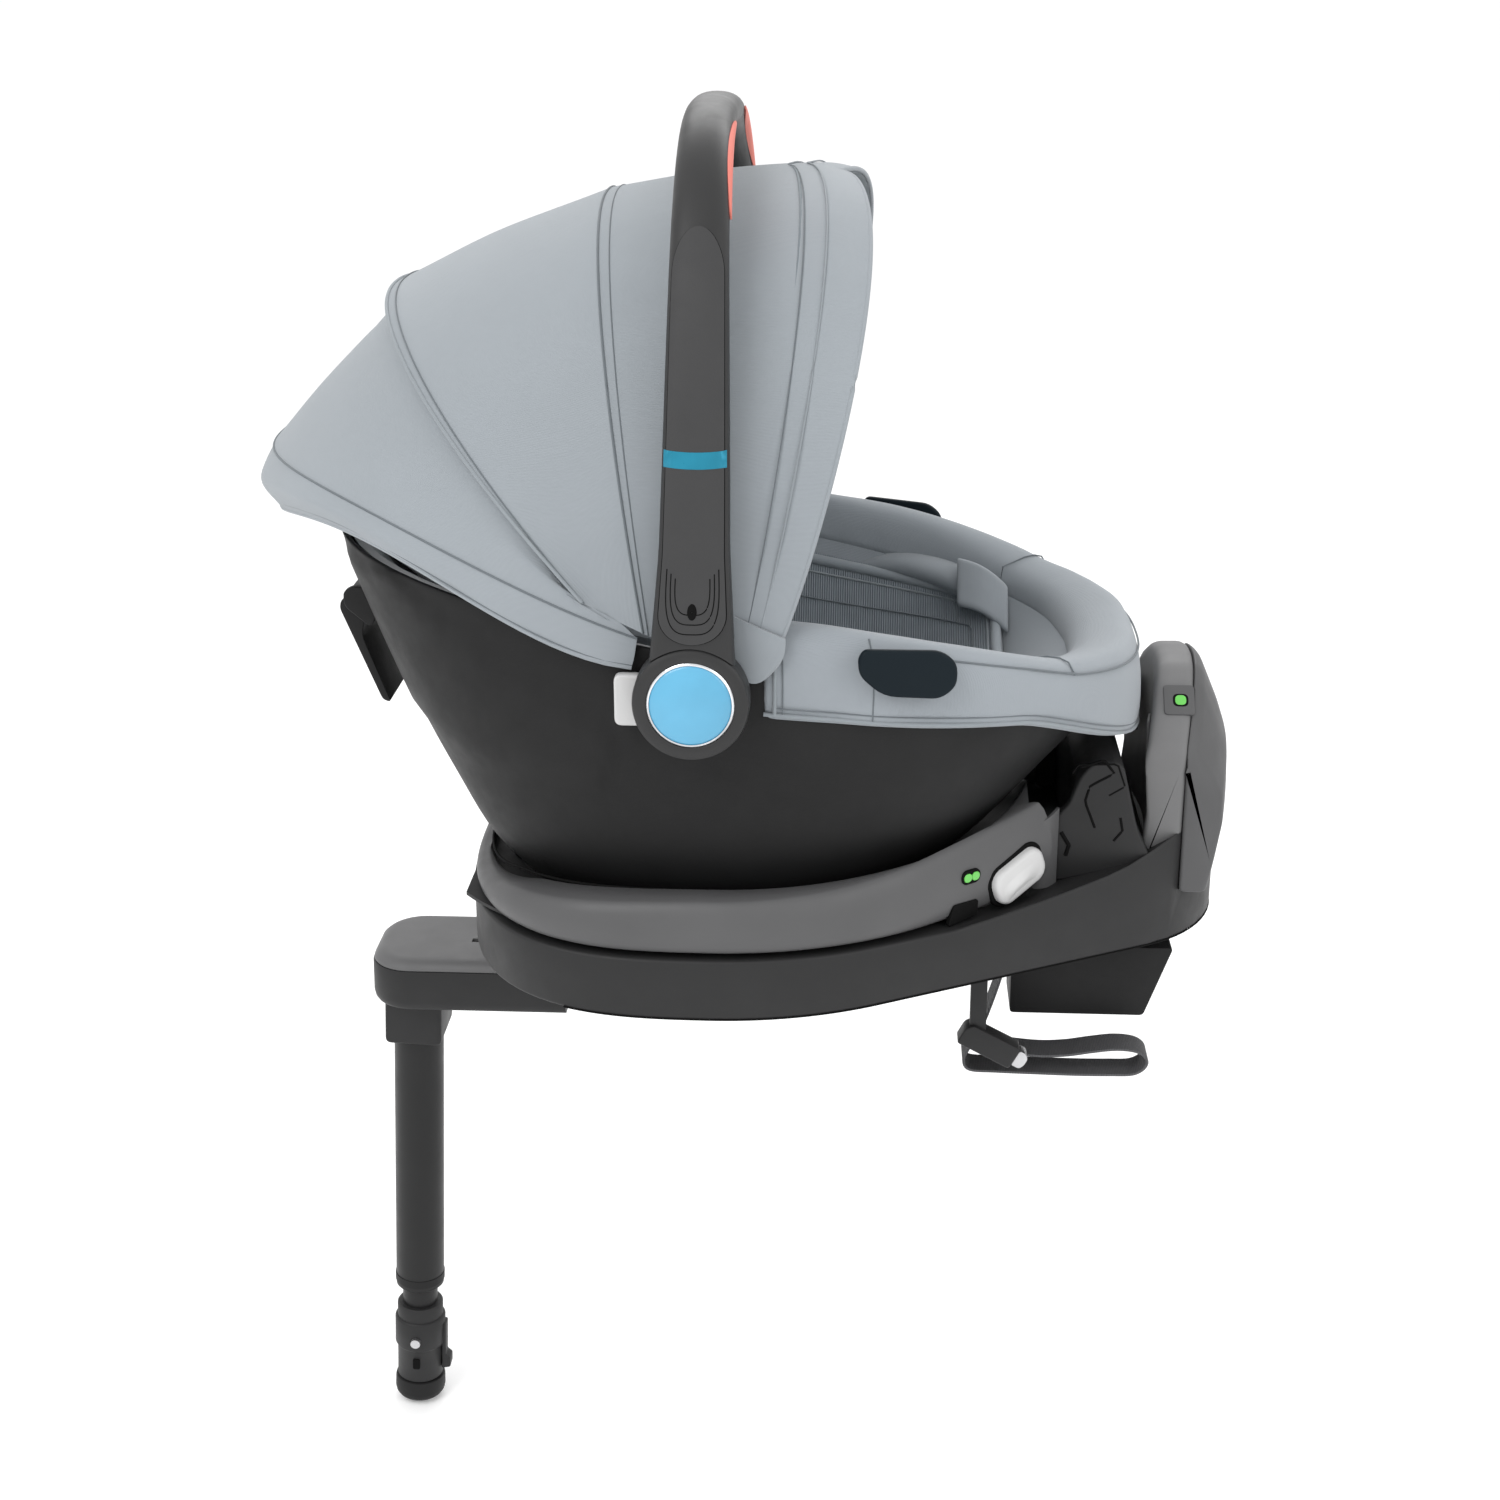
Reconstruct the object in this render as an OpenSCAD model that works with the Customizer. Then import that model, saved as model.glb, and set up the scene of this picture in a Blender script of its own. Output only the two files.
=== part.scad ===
// Infant car seat: a carrier with a folding canopy and a carrying handle, on a turning base with a load
// leg and an anti-rebound bar. Millimetres. +X is the foot end, +Y the far side, +Z up. The origin is on
// the turntable's axis, level with the underside of the base.

/* [Base] */
// Half width of the base at its rim
base_half_w = 238; // [232:1:240]
// From the turntable's axis to the head end of the rim
base_head = 188; // [186:1:192]
// From the turntable's axis to the foot end of the rim
base_foot = 370; // [366:1:374]
// Height of the rim above the underside
rim_z = 132; // [128:1:134]
// Height of the band below the rim
band_h = 44; // [36:1:46]
/* [Anti-rebound bar] */
// Inner radius, about the turntable's axis
bar_r = 315; // [314:1:318]
// Half length across the seat
bar_half = 84; // [70:1:90]
// Height of its top edge
bar_top = 286; // [282:1:290]
/* [Turntable] */
// Half width of the ring at its bulge
ring_half_w = 239; // [234:1:240]
// From the axis to the foot end of the ring
ring_foot = 300; // [294:1:302]
// Height of the ring's top edge at the middle
ring_top = 173; // [168:1:178]
// Radius of the bearing
bearing_r = 60; // [50:1:70]
/* [Load leg] */
// Place of the leg's pin along the seat
leg_x = -249; // [-252:1:-246]
// Height of the leg's pin
leg_z = 5; // [3:1:6]
// Lean of the leg away from the seat, in degrees
leg_lean = 2.6; // [0:0.1:4]
// From the pin to the lower end of the outer tube
outer_tube_l = 287; // [270:1:300]
// From the pin to the underside of the foot
leg_l = 396; // [380:1:400]
// Outer radius of the outer tube
outer_r = 19.8; // [18:0.1:20]
// Outer radius of the inner tube
inner_r = 14.5; // [13:0.1:15]
/* [Handle and canopy] */
// Place of the handle's axis along the seat
hub_x = -11; // [-13:1:-9]
// Height of the handle's axis
hub_z = 314; // [312:1:316]
// From the handle's axis to the inside of the grip
handle_in_r = 345; // [344:1:350]
// From the middle of the seat to the inside of the handle's arms
handle_in_w = 212; // [211:1:214]
// Thickness of the handle
handle_t = 24; // [18:1:26]
// Place of the canopy's axis along the seat
bow_x = -25; // [-28:1:-22]
// Height of the canopy's axis
bow_z = 351; // [350:1:353]
/* [Carrier] */
// Half width of the shell's rim
shell_w = 199; // [197:0.5:200]
// From the turntable's axis to the head end of the shell's rim
shell_head = 282; // [278:1:286]
// From the turntable's axis to the foot end of the shell's rim
shell_foot = 281; // [276:1:282]
// Wall of the shell
shell_t = 5; // [3:0.5:5]
// From the turntable's axis to the front of the seat pad
pad_foot = 306; // [300:1:307]
/* [Hidden] */
N = 72;                  // points round a closed outline
M = 28;                  // spans across an arch
GAP = 0.4;               // between soft layers that touch
SWEEP_GAP = 4;           // between the turning ring and the base
SWEEP_FLAT = 245;        // the deck is level out to this radius
well_r = 180;            // the turntable's well
tray_r = 176;
tray_z = 102;            // underside of the turntable's tray
tray_top = 112;
bearing_bottom = 78;     // lower end of the turntable's spigot
band_z = rim_z - band_h; // lower edge of the band
pad_side = 204.5;        // half width of the seat pad
cap_r = 27.6;            // hub cap
hub_r = 38.7;            // hub disc
pin_r = 8;
hub_in = 212.4;          // inner face of a hub disc
hub_out = 235;
arm_half = 50;

// ---------- shared geometry ----------

function spow(v, p) = sign(v) * pow(abs(v), p);
function clamp(v, lo, hi) = min(max(v, lo), hi);
function mix(a, b, t) = a + (b - a) * t;

// Distance from the axis to a rounded outline with different head and foot ends, at angle a.
function oval_r(a, head, foot, w, n) =
    let (e = cos(a) < 0 ? head : foot) pow(pow(abs(cos(a)) / e, n) + pow(abs(sin(a)) / w, n), -1 / n);

// The same for the egg of the base: a circle of radius w, drawn out to a smaller circle at the foot end
// and cut flat at the head end.
function egg_r(a, head, foot, w, end_r) =
    let (b = abs(a > 180 ? a - 360 : a), cx = foot - end_r, al = acos((w - end_r) / cx),
         tb = atan2(end_r * sin(al), cx + end_r * cos(al)))
    b > 90 ? oval_r(b, head, head, w, 2.85)
    : b >= al ? w
    : b >= tb ? w / cos(al - b)
    : cx * cos(b) + sqrt(pow(end_r, 2) - pow(cx * sin(b), 2));

function ang(i) = 360 * i / N;
function polar(r, a) = [r * cos(a), r * sin(a)];
function base_outline(inset) = [for (i = [0:N - 1])
    polar(egg_r(ang(i), base_head, base_foot, base_half_w, 115) - inset, ang(i))];

// Height of the deck at a distance from the turntable's axis: level, then a slow rise to the foot end.
function deck_z(r) = r < SWEEP_FLAT ? rim_z
    : r < 312 ? rim_z + (r - SWEEP_FLAT) * 0.3
    : rim_z + 20 + (min(r, 352) - 312) * 0.6;

// A closed surface through rings of points; each ring runs anticlockwise seen from the end it moves to.
module loft(rings) {
    n = len(rings[0]);
    m = len(rings);
    mid = function (r) [for (k = [0:2]) [for (p = r) p[k]] * [for (p = r) 1] / n];
    pts = concat([for (r = rings) each r], [mid(rings[0]), mid(rings[m - 1])]);
    polyhedron(pts, concat(
        [for (i = [0:n - 1]) [m * n, i, (i + 1) % n]],
        [for (j = [0:m - 2], i = [0:n - 1]) each
            [[j * n + i, (j + 1) * n + i, (j + 1) * n + (i + 1) % n],
             [j * n + i, (j + 1) * n + (i + 1) % n, j * n + (i + 1) % n]]],
        [for (i = [0:n - 1]) [m * n + 1, (m - 1) * n + (i + 1) % n, (m - 1) * n + i]]));
}

// A closed band: sections that follow each other round a loop.
module loop_solid(sections) {
    n = len(sections[0]);
    m = len(sections);
    polyhedron([for (s = sections) each s], [for (j = [0:m - 1], i = [0:n - 1]) each
        let (a = j * n, b = ((j + 1) % m) * n, k = (i + 1) % n)
        [[a + i, b + i, b + k], [a + i, b + k, a + k]]]);
}

// A bent sheet between an outer and an inner grid of the same size.
module sheet(outer, inner) {
    m = len(outer);
    n = len(outer[0]);
    o = m * n;
    polyhedron(concat([for (r = outer) each r], [for (r = inner) each r]), concat(
        [for (j = [0:m - 2], i = [0:n - 2]) each let (a = j * n + i)
            [[a, a + 1, a + n + 1], [a, a + n + 1, a + n],
             [o + a, o + a + n + 1, o + a + 1], [o + a, o + a + n, o + a + n + 1]]],
        [for (i = [0:n - 2]) each let (a = i, b = (m - 1) * n + i)
            [[a, o + a, o + a + 1], [a, o + a + 1, a + 1],
             [b, o + b + 1, o + b], [b, b + 1, o + b + 1]]],
        [for (j = [0:m - 2]) each let (a = j * n, b = j * n + n - 1)
            [[a, a + n, o + a + n], [a, o + a + n, o + a],
             [b, o + b + n, b + n], [b, o + b, o + b + n]]]));
}

// An arch over the seat: from the near foot, over its apex, to the far foot, in one plane through both
// feet. bow_out bulges its haunches along X, and rise lifts them by an amount at the feet and at the apex.
function arch(apex, foot, half_w, n = 2.3, bow_out = 0, rise = [0, 0]) = [for (i = [0:M])
    let (t = 180 * i / M, s = pow(sin(t), 2 / n), b = pow(max(0, sin(2 * min(t, 180 - t))), 0.6))
    [mix(foot[0], apex[0], s) + bow_out * b, -half_w * spow(cos(t), 2 / n),
     mix(foot[1], apex[1], s) + s * (1 - s) * mix(rise[0], rise[1], s)]];
// The same arch drawn in towards the middle of the seat by a thickness.
function inward(row, t, c = [-60, 0, 330]) = [for (p = row)
    let (d = p - c) p - d * (t / norm(d))];
module panel(rows, t) sheet([for (r = rows) r], [for (r = rows) inward(r, t)]);

module near_and_far() {
    children();
    mirror([0, 1, 0]) children();
}
// Lays an outline drawn in X and Z flat across the seat, from y0 to y1.
module across(y0, y1) translate([0, y1, 0]) rotate([90, 0, 0]) linear_extrude(y1 - y0) children();
module rounded(x0, z0, x1, z1, r) {
    translate([x0 + r, z0]) square([x1 - x0 - 2 * r, z1 - z0]);
    translate([x0, z0 + r]) square([x1 - x0, z1 - z0 - 2 * r]);
    for (x = [x0 + r, x1 - r], z = [z0 + r, z1 - r]) translate([x, z]) circle(r, $fn = 48);
}
module rod(r, x, z, y0, y1) translate([x, y1, z]) rotate([90, 0, 0]) cylinder(r = r, h = y1 - y0, $fn = 96);

// ---------- base ----------

// Room that the turning parts sweep, from the deck upwards.
module sweep_room(lift) rotate_extrude($fn = 180) polygon([[0, rim_z + lift], [SWEEP_FLAT, rim_z + lift],
    [312, rim_z + 20 + lift], [352, rim_z + 44 + lift], [420, rim_z + 44 + lift], [420, 420], [0, 420]]);

module leg_channel() translate([leg_x, 0, leg_z]) rotate([0, -5, 0])
    translate([0, -31, -60]) cube([530, 62, 87]);

function belly(inset, z, head_cut, foot_cut) = [for (i = [0:N - 1])
    let (r = egg_r(ang(i), base_head, base_foot, base_half_w, 115), p = polar(r, ang(i)))
    [clamp(p[0] * (1 - inset / base_half_w), -base_head + head_cut, foot_cut),
     p[1] * (1 - inset / base_half_w), z]];

module base_shell() color([0.17, 0.17, 0.17]) difference() {
    loft([belly(146, 0, 62, 147), belly(136, 3, 58, 149), belly(78, 38, 40, 190), belly(30, 68, 20, 300),
        belly(8, band_z - 0.3, 10, 350)]);
    leg_channel();
    translate([150, -130, -20]) cube([250, 260, band_z + 8]);
    translate([leg_x - 60, -arm_half - 0.1, -20]) cube([184.1, 2 * arm_half + 0.2, 48.1]);
    translate([0, 0, bearing_bottom - 4]) cylinder(r = bearing_r + 14, h = 40, $fn = 96);
    on_head_slope() translate([-30, -40, -25]) cube([50, 80, 50]);
}

module base_deck() color([0.24, 0.24, 0.25]) difference() {
    translate([0, 0, band_z]) linear_extrude(rim_z + 46 - band_z) polygon(base_outline(0));
    sweep_room(0);
    translate([0, 0, tray_z - 4]) cylinder(r = well_r, h = 200, $fn = 180);
    intersection() {
        translate([0, 0, bar_foot_z - 0.1]) difference() {
            cylinder(r = 500, h = 100, $fn = 180);
            translate([0, 0, -1]) cylinder(r = bar_r + 29.9, h = 102, $fn = 180);
        }
        bar_ends(-0.1);
    }
    translate([0, 0, band_z - 1]) cylinder(r = bearing_r + 6, h = 60, $fn = 96);
}

module rear_housing() color([0.15, 0.15, 0.15]) difference() {
    across(-78, 78) polygon([[216, 20], [316, 20], [335.6, 75.9], [216, 75.9]]);
    leg_channel();
    translate([0, 0, -100]) linear_extrude(300) difference() {
        translate([200, -200]) square(400);
        polygon(base_outline(6));
    }
}

bar_foot_z = 126; // lower edge of the bar's outer cover
// Side view of the anti-rebound bar, as distance from the turntable's axis against height.
module bar_side(back) intersection() {
    polygon([[bar_r, deck_z(bar_r)], [bar_r + 4, 232], [bar_r + 1, bar_top - 26], [bar_r + 5, bar_top - 10],
        [bar_r + 16, bar_top - 2], [bar_r + 26, bar_top], [bar_r + 37, bar_top - 8],
        [bar_r + 50, bar_top - 42],
        [bar_r + 57, 245], [bar_r + 58, 217], [bar_r + 54, 170], [bar_r + 50, bar_foot_z],
        [bar_r + 30, bar_foot_z], [bar_r + 29.8, deck_z(bar_r + 29.8)]]);
    if (back) translate([bar_r + 30, 0]) square(400);
    else square([bar_r + 29.8, 400]);
}

module bar_ends(inset = 0) translate([0, -bar_half + inset, 0]) cube([500, 2 * (bar_half - inset), 500]);

// Front view of the bar: upright at its ends, then sloping in to a rounded top.
module bar_dome() translate([200, 0, 0]) rotate([90, 0, 90]) linear_extrude(300)
    polygon(concat(BAR_DOME, [for (i = [1:len(BAR_DOME)]) let (p = BAR_DOME[len(BAR_DOME) - i]) [-p[0], p[1]]]));
BAR_DOME = [[-bar_half, 100], [-bar_half, bar_top - 66], [-bar_half + 3, bar_top - 52],
    [-bar_half + 18, bar_top - 34], [-bar_half + 40, bar_top - 12], [-bar_half + 56, bar_top - 3], [-10, bar_top]];

module rebound_bar_inner() color([0.4, 0.4, 0.41]) intersection() {
    rotate([0, 0, -30]) rotate_extrude(angle = 60, $fn = 180) bar_side(false);
    bar_dome();
}

module rebound_bar_outer() color([0.3, 0.3, 0.31]) intersection() {
    rotate([0, 0, -30]) rotate_extrude(angle = 60, $fn = 180) bar_side(true);
    bar_dome();
}

// The level indicator lies on the near slope of the bar's top.
module on_slope() translate([bar_r + 12.5, -bar_half + 29, bar_top - 23]) rotate([45, 0, 0]) children();
module level_bezel() color([0.32, 0.32, 0.33]) on_slope() translate([0, 0, 0.05]) linear_extrude(1.15)
    difference() {
        rounded(-11, -12, 11, 12, 4);
        rounded(-4, -5, 6, 4, 1.5);
    }

module level_lens() color([0.45, 0.75, 0.35]) on_slope() translate([0, 0, 0.05]) linear_extrude(0.85)
    rounded(-3.8, -4.8, 5.8, 3.8, 1.4);

module bar_plates() color([0.42, 0.42, 0.43]) for (a = [-9, 9]) rotate([0, 0, a])
    translate([bar_r - 1, -9, 206]) rotate([0, -1.2, 0]) cube([3, 18, 42]);

module leg_arm_housing() color([0.28, 0.28, 0.28]) difference() {
    union() {
        translate([leg_x + 2, 0, -6]) cylinder(r = arm_half - 16, h = 34, $fn = 96);
        translate([leg_x + 2, -arm_half, -6]) cube([122, 2 * arm_half, 34]);
        translate([leg_x + 2 - 34, -arm_half + 34, -6]) cube([34, 2 * arm_half - 68, 34]);
        for (s = [-1, 1]) translate([leg_x + 2, s * (arm_half - 34), -6]) cylinder(r = 34, h = 34, $fn = 96);
    }
    translate([leg_x - 26, -28.5, -10]) cube([160, 57, 50]);
    rod(5.05, leg_x, leg_z, -46, 46);
}

module leg_arm_cover() color([0.45, 0.45, 0.46]) difference() {
    translate([0, 0, 28.1]) linear_extrude(8) {
        translate([leg_x + 2, -arm_half + 2]) square([97, 2 * arm_half - 4]);
        translate([leg_x + 2 - 32, -arm_half + 34]) square([34, 2 * arm_half - 68]);
        for (s = [-1, 1]) translate([leg_x + 2, s * (arm_half - 34)]) circle(32, $fn = 96);
    }
    translate([leg_x + 45, 4, 34.5]) cube([9, 6, 10]);
    translate([leg_x, 0, leg_z]) rotate([0, -5, 0]) {
        translate([-27, -28.5, -60]) cube([85, 57, 83]);
        rotate([0, 90, 0]) cylinder(r = outer_r + 0.4, h = 130, $fn = 96);
    }
}

module leg_pin() color([0.7, 0.7, 0.72]) rod(5, leg_x, leg_z, -45.9, 45.9);

module bearing_race() color([0.6, 0.6, 0.62]) difference() {
    translate([0, 0, bearing_bottom]) cylinder(r = bearing_r + 5.9, h = 20, $fn = 180);
    translate([0, 0, bearing_bottom - 1]) cylinder(r = bearing_r + 0.05, h = 22, $fn = 180);
}

// The lever lies along the slope of the head end; X points into the base.
module on_head_slope() translate([-168, 0, 59]) rotate([0, -37, 0]) children();
module front_lever() color([0.88, 0.88, 0.88]) on_head_slope() {
    translate([-4, -36, -21]) cube([13, 72, 42]);
    for (i = [0:7]) translate([-6, -36, -19 + 5 * i]) cube([2, 72, 2.4]);
}

// ---------- lower anchors, stowed under the foot end ----------

strap_z = -3;
// A closed loop of webbing, with the end that runs up into the base.
module strap_outline() {
    difference() {
        union() {
            for (x = [190, 306]) translate([x, strap_z]) circle(11, $fn = 48);
            translate([190, strap_z - 11]) square([116, 22]);
        }
        for (x = [190, 306]) translate([x, strap_z]) circle(9.2, $fn = 48);
        translate([190, strap_z - 9.2]) square([116, 18.4]);
    }
    polygon([[179.2, strap_z - 1], [181, strap_z - 1.6], [210, 75.8], [207.6, 75.8]]);
}
module tether_strap() color([0.31, 0.31, 0.32]) across(-111, -86) strap_outline();
module on_anchor() translate([200, -121, 16]) rotate([0, 28, 0]) children();
module anchor_connectors() color([0.25, 0.25, 0.26]) near_and_far() {
    on_anchor() translate([-24, -8, -9]) cube([44, 16, 18]);
    translate([184, -126, 20]) cube([12, 10, 55.8]);
}
module anchor_tips() color([0.72, 0.72, 0.73]) near_and_far()
    on_anchor() translate([20.1, -6, -7]) cube([9, 12, 14]);

// ---------- turntable ----------

module turntable_tray() color([0.2, 0.2, 0.2]) difference() {
    rotate_extrude($fn = 180)
        polygon([[0, tray_z], [bearing_r - 12, tray_z], [bearing_r - 12, bearing_bottom],
        [bearing_r, bearing_bottom], [bearing_r, tray_z], [tray_r, tray_z], [tray_r, rim_z + 1.5],
        [228, rim_z + 1.5], [228, rim_z + SWEEP_GAP], [tray_r - 6, rim_z + SWEEP_GAP],
        [tray_r - 6, tray_top], [0, tray_top]]);
    translate([-250, -250, rim_z - 2]) cube([250 - base_head + 6, 500, 10]);
}

module spigot_retainer() color([0.6, 0.6, 0.62]) translate([0, 0, bearing_bottom - 3.2])
    cylinder(r = bearing_r + 4, h = 3, $fn = 96);

ring_end_r = 126;
ring_flat_a = acos((ring_half_w - ring_end_r) / (ring_foot - ring_end_r));
// Places a piece on the straight stretch of the ring's near side: X outwards, Y towards the foot end.
module on_ring_flat(along, up) rotate([0, 0, -ring_flat_a]) translate([ring_half_w, along, up]) children();
button_along = 76;
button_up = 156;
button_tilt = 22;

function ring_z(x) = ring_top + 0.00055 * x * abs(x) - max(0, -x - 140) * 0.25;
function ring_in(a) = oval_r(a, 178, 231, 206, 2.4);
function ring_section(a) =
    let (r = egg_r(a, base_head - 2, ring_foot, ring_half_w, ring_end_r), b = deck_z(r) + SWEEP_GAP,
         top = ring_z(r * cos(a)), h = top - b, q = ring_in(a))
    [for (p = [[q, deck_z(q) + SWEEP_GAP], [r - 5, b], [r - 1, b + 0.14 * h], [r, b + 0.4 * h],
        [r - 2, b + 0.72 * h], [r - 5, b + 0.9 * h], [r - 8, top], [q, top - 2]])
        [p[0] * cos(a), p[0] * sin(a), p[1]]];

module turntable_ring() color([0.38, 0.38, 0.39]) difference() {
    loop_solid([for (i = [0:N - 1]) ring_section(ang(i))]);
    near_and_far() on_ring_flat(button_along, button_up) rotate([button_tilt, 0, 0])
        translate([-40, -25, -15]) cube([60, 50, 30]);
    translate([221, -110.2, 110]) cube([119, 220.4, 150]);
}

// One button: a lozenge with a thumb ridge, set into the ring's outer wall.
module rotate_button() color([0.9, 0.9, 0.9]) on_ring_flat(button_along, button_up)
    rotate([button_tilt, 0, 0]) rotate([90, 0, 90]) translate([0, 0, -12]) {
        linear_extrude(18) rounded(-24, -14, 24, 14, 11);
        translate([0, 0, 18]) linear_extrude(3) rounded(-18, -3, 18, 3, 2.9);
    }
module rotate_button_near() rotate_button();
module rotate_button_far() mirror([0, 1, 0]) rotate_button();

module lock_windows() color([0.45, 0.8, 0.4]) near_and_far() on_ring_flat(31.6, 166)
    translate([0.15, 0, 0]) rotate([0, 90, 0]) linear_extrude(1.4) {
        translate([-4, -3]) square([8, 6]);
        for (x = [-4, 4]) translate([x, 0]) circle(3, $fn = 48);
    }

module latch_tower() color([0.27, 0.27, 0.28]) difference() {
    intersection() {
        across(-100, 100) polygon([[241, 140], [318, 140], [300, 178], [288, 226], [282, 230], [266, 230],
            [257, 218], [250, 196], [241, 190]]);
        translate([0, 0, 100]) cylinder(r = 304, h = 200, $fn = 180);
        sweep_room(SWEEP_GAP);
    }
    near_and_far() translate([0, -100, 0]) across(-1, 4) polygon([[258, 184], [263, 222], [286, 224],
        [292, 208], [276, 203], [272, 178]]);
    translate([236, -92, 120]) cube([20, 184, 120]);
}

// ---------- load leg ----------

module on_leg() translate([leg_x, 0, leg_z]) rotate([0, leg_lean, 0]) children();

module leg_socket() color([0.2, 0.2, 0.2]) on_leg() difference() {
    union() {
        rod(22.5, 0, 0, -26, 26);
        translate([-22.5, -26, -52]) cube([45, 52, 52]);
    }
    rod(5.05, 0, 0, -30, 30);
    translate([0, 0, -60]) cylinder(r = outer_r + 0.1, h = 46, $fn = 96);
}

module leg_outer_tube() color([0.22, 0.22, 0.22]) on_leg() difference() {
    translate([0, 0, -outer_tube_l]) cylinder(r = outer_r, h = outer_tube_l - 14.2, $fn = 96);
    translate([0, 0, -outer_tube_l - 1]) cylinder(r = inner_r + 0.1, h = outer_tube_l - 18, $fn = 96);
}

module leg_inner_tube() color([0.24, 0.24, 0.24]) on_leg() difference() {
    translate([0, 0, -leg_l + 52]) cylinder(r = inner_r, h = leg_l - 52 - 112, $fn = 96);
    translate([0, 0, -leg_l + 50]) cylinder(r = inner_r - 2, h = leg_l - 50, $fn = 96);
}

module foot_collar() color([0.19, 0.19, 0.19]) on_leg() difference() {
    union() {
        translate([0, 0, -leg_l + 20]) cylinder(r = 19, h = 71, $fn = 96);
        translate([0, 0, -leg_l + 52]) cylinder(r = 21, h = 26, $fn = 96);
    }
    translate([0, 0, -leg_l + 52]) cylinder(r = inner_r + 0.1, h = 60, $fn = 96);
    translate([15, -6, -leg_l + 26]) cube([12, 12, 46]);
}

module foot_cap() color([0.13, 0.13, 0.13]) on_leg() rotate_extrude($fn = 96)
    polygon([[0, -leg_l], [15, -leg_l], [19.5, -leg_l + 3], [21, -leg_l + 8], [20.5, -leg_l + 19.8],
        [0, -leg_l + 19.8]]);

module foot_knob() color([0.75, 0.75, 0.76]) on_leg() rod(4, 0, -leg_l + 62, -24.5, -21.1);
module foot_window() color([0.6, 0.6, 0.6]) on_leg() across(-20.2, -19.05)
    rounded(-3, -leg_l + 34, 3, -leg_l + 44, 1.5);
module foot_lever() color([0.2, 0.2, 0.2]) on_leg() {
    translate([19.3, -5.5, -leg_l + 27]) cube([3.2, 11, 44]);
    translate([22.5, -5.5, -leg_l + 29]) cube([4, 11, 9]);
}

// ---------- carrier shell ----------

// Height, slope along X, head end, foot end, half width and squareness of each level of the shell.
LEVELS = [[112.4, 0, 138, 112, 140, 2.2], [121, 0, 150, 130, 154, 2.2], [137, 0, 162, 150, 166, 2.2],
    [165, 0, 185, 190, 188, 2.4], [200, 0, 200, 221, 195, 2.5], [244, -0.03, 228, 254, 197, 2.5],
    [284, -0.12, 254, 271, 198, 2.5], [333, -0.2, shell_head, shell_foot, shell_w, 2.5]];
function level_ring(l, inset, up = 0) = [for (i = [0:N - 1])
    let (r = oval_r(ang(i), l[2] - inset, l[3] - inset, l[4] - inset, l[5]), x = r * cos(ang(i)))
    [x, r * sin(ang(i)), l[0] + l[1] * x + up]];
function rim_level_z(x) = LEVELS[7][0] + LEVELS[7][1] * x;

module carrier_shell() color([0.18, 0.18, 0.18]) {
    difference() {
        loft(concat([for (l = LEVELS) level_ring(l, 0)],
            [for (k = [7:-1:1]) level_ring(LEVELS[k], shell_t)], [level_ring(LEVELS[0], shell_t + 3, 5)]));
        rod(pin_r + 2, hub_x, hub_z, -240, 240);
    }
    difference() {
        near_and_far() release_lug();
        loft([for (l = LEVELS) level_ring(l, 2)]);
    }
}

// Height of the bowl over a point of the seat, at depth d.
function bowl_z(x, y, d) =
    let (s = norm([x, y]) / oval_r(atan2(y, x), shell_head - d, shell_foot - d, shell_w - d, 2.5))
    mix(seat_z(x) + d - 16, rim_level_z(x / s) - 3, pow(s, 6));
// The seat's surface: a bowl that is low under the hips and climbs to the head and foot ends.
function seat_z(x) = x < 60 ? 168 + 0.0021 * pow(x - 60, 2) : 168 + 0.0019 * pow(x - 60, 2);
function bowl_ring(s, d) = [for (i = [0:N - 1])
    let (r = s * oval_r(ang(i), shell_head - d, shell_foot - d, shell_w - d, 2.5), x = r * cos(ang(i)))
    [x, r * sin(ang(i)), mix(seat_z(x) + d - 16, rim_level_z(x / s) - 3, pow(s, 6))]];
BOWL_S = [1, 0.96, 0.91, 0.84, 0.74, 0.6, 0.4, 0.15];

module foam_liner() color([0.75, 0.75, 0.75]) difference() {
    loft(concat([for (k = [2:6]) level_ring(LEVELS[k], shell_t + 1.7)],
        [level_ring(LEVELS[7], shell_t + 3, -3)],
        [for (s = BOWL_S) bowl_ring(s, 15)]));
    rod(pin_r + 4, hub_x, hub_z, -240, 240);
}

module seat_cushion() color([0.6, 0.63, 0.66]) difference() {
    loft(concat([for (k = [len(BOWL_S) - 1:-1:0]) [for (p = bowl_ring(BOWL_S[k], 17.4)) p + [0, 0, 1.9]]],
        [for (s = BOWL_S) bowl_ring(s, 28)]));
    rod(pin_r + 4, hub_x, hub_z, -240, 240);
    on_adjuster() translate([-13.2, -11.2, -5.2]) cube([26.4, 22.4, 30]);
}

module infant_insert() color([0.44, 0.47, 0.49]) intersection() {
    loft(concat([for (k = [len(BOWL_S) - 1:-1:1]) bowl_ring(BOWL_S[k], 29)],
        [for (k = [1:len(BOWL_S) - 1]) bowl_ring(BOWL_S[k], 44)]));
    translate([-290, -150, 100]) cube([480, 300, 250]);
}

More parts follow.
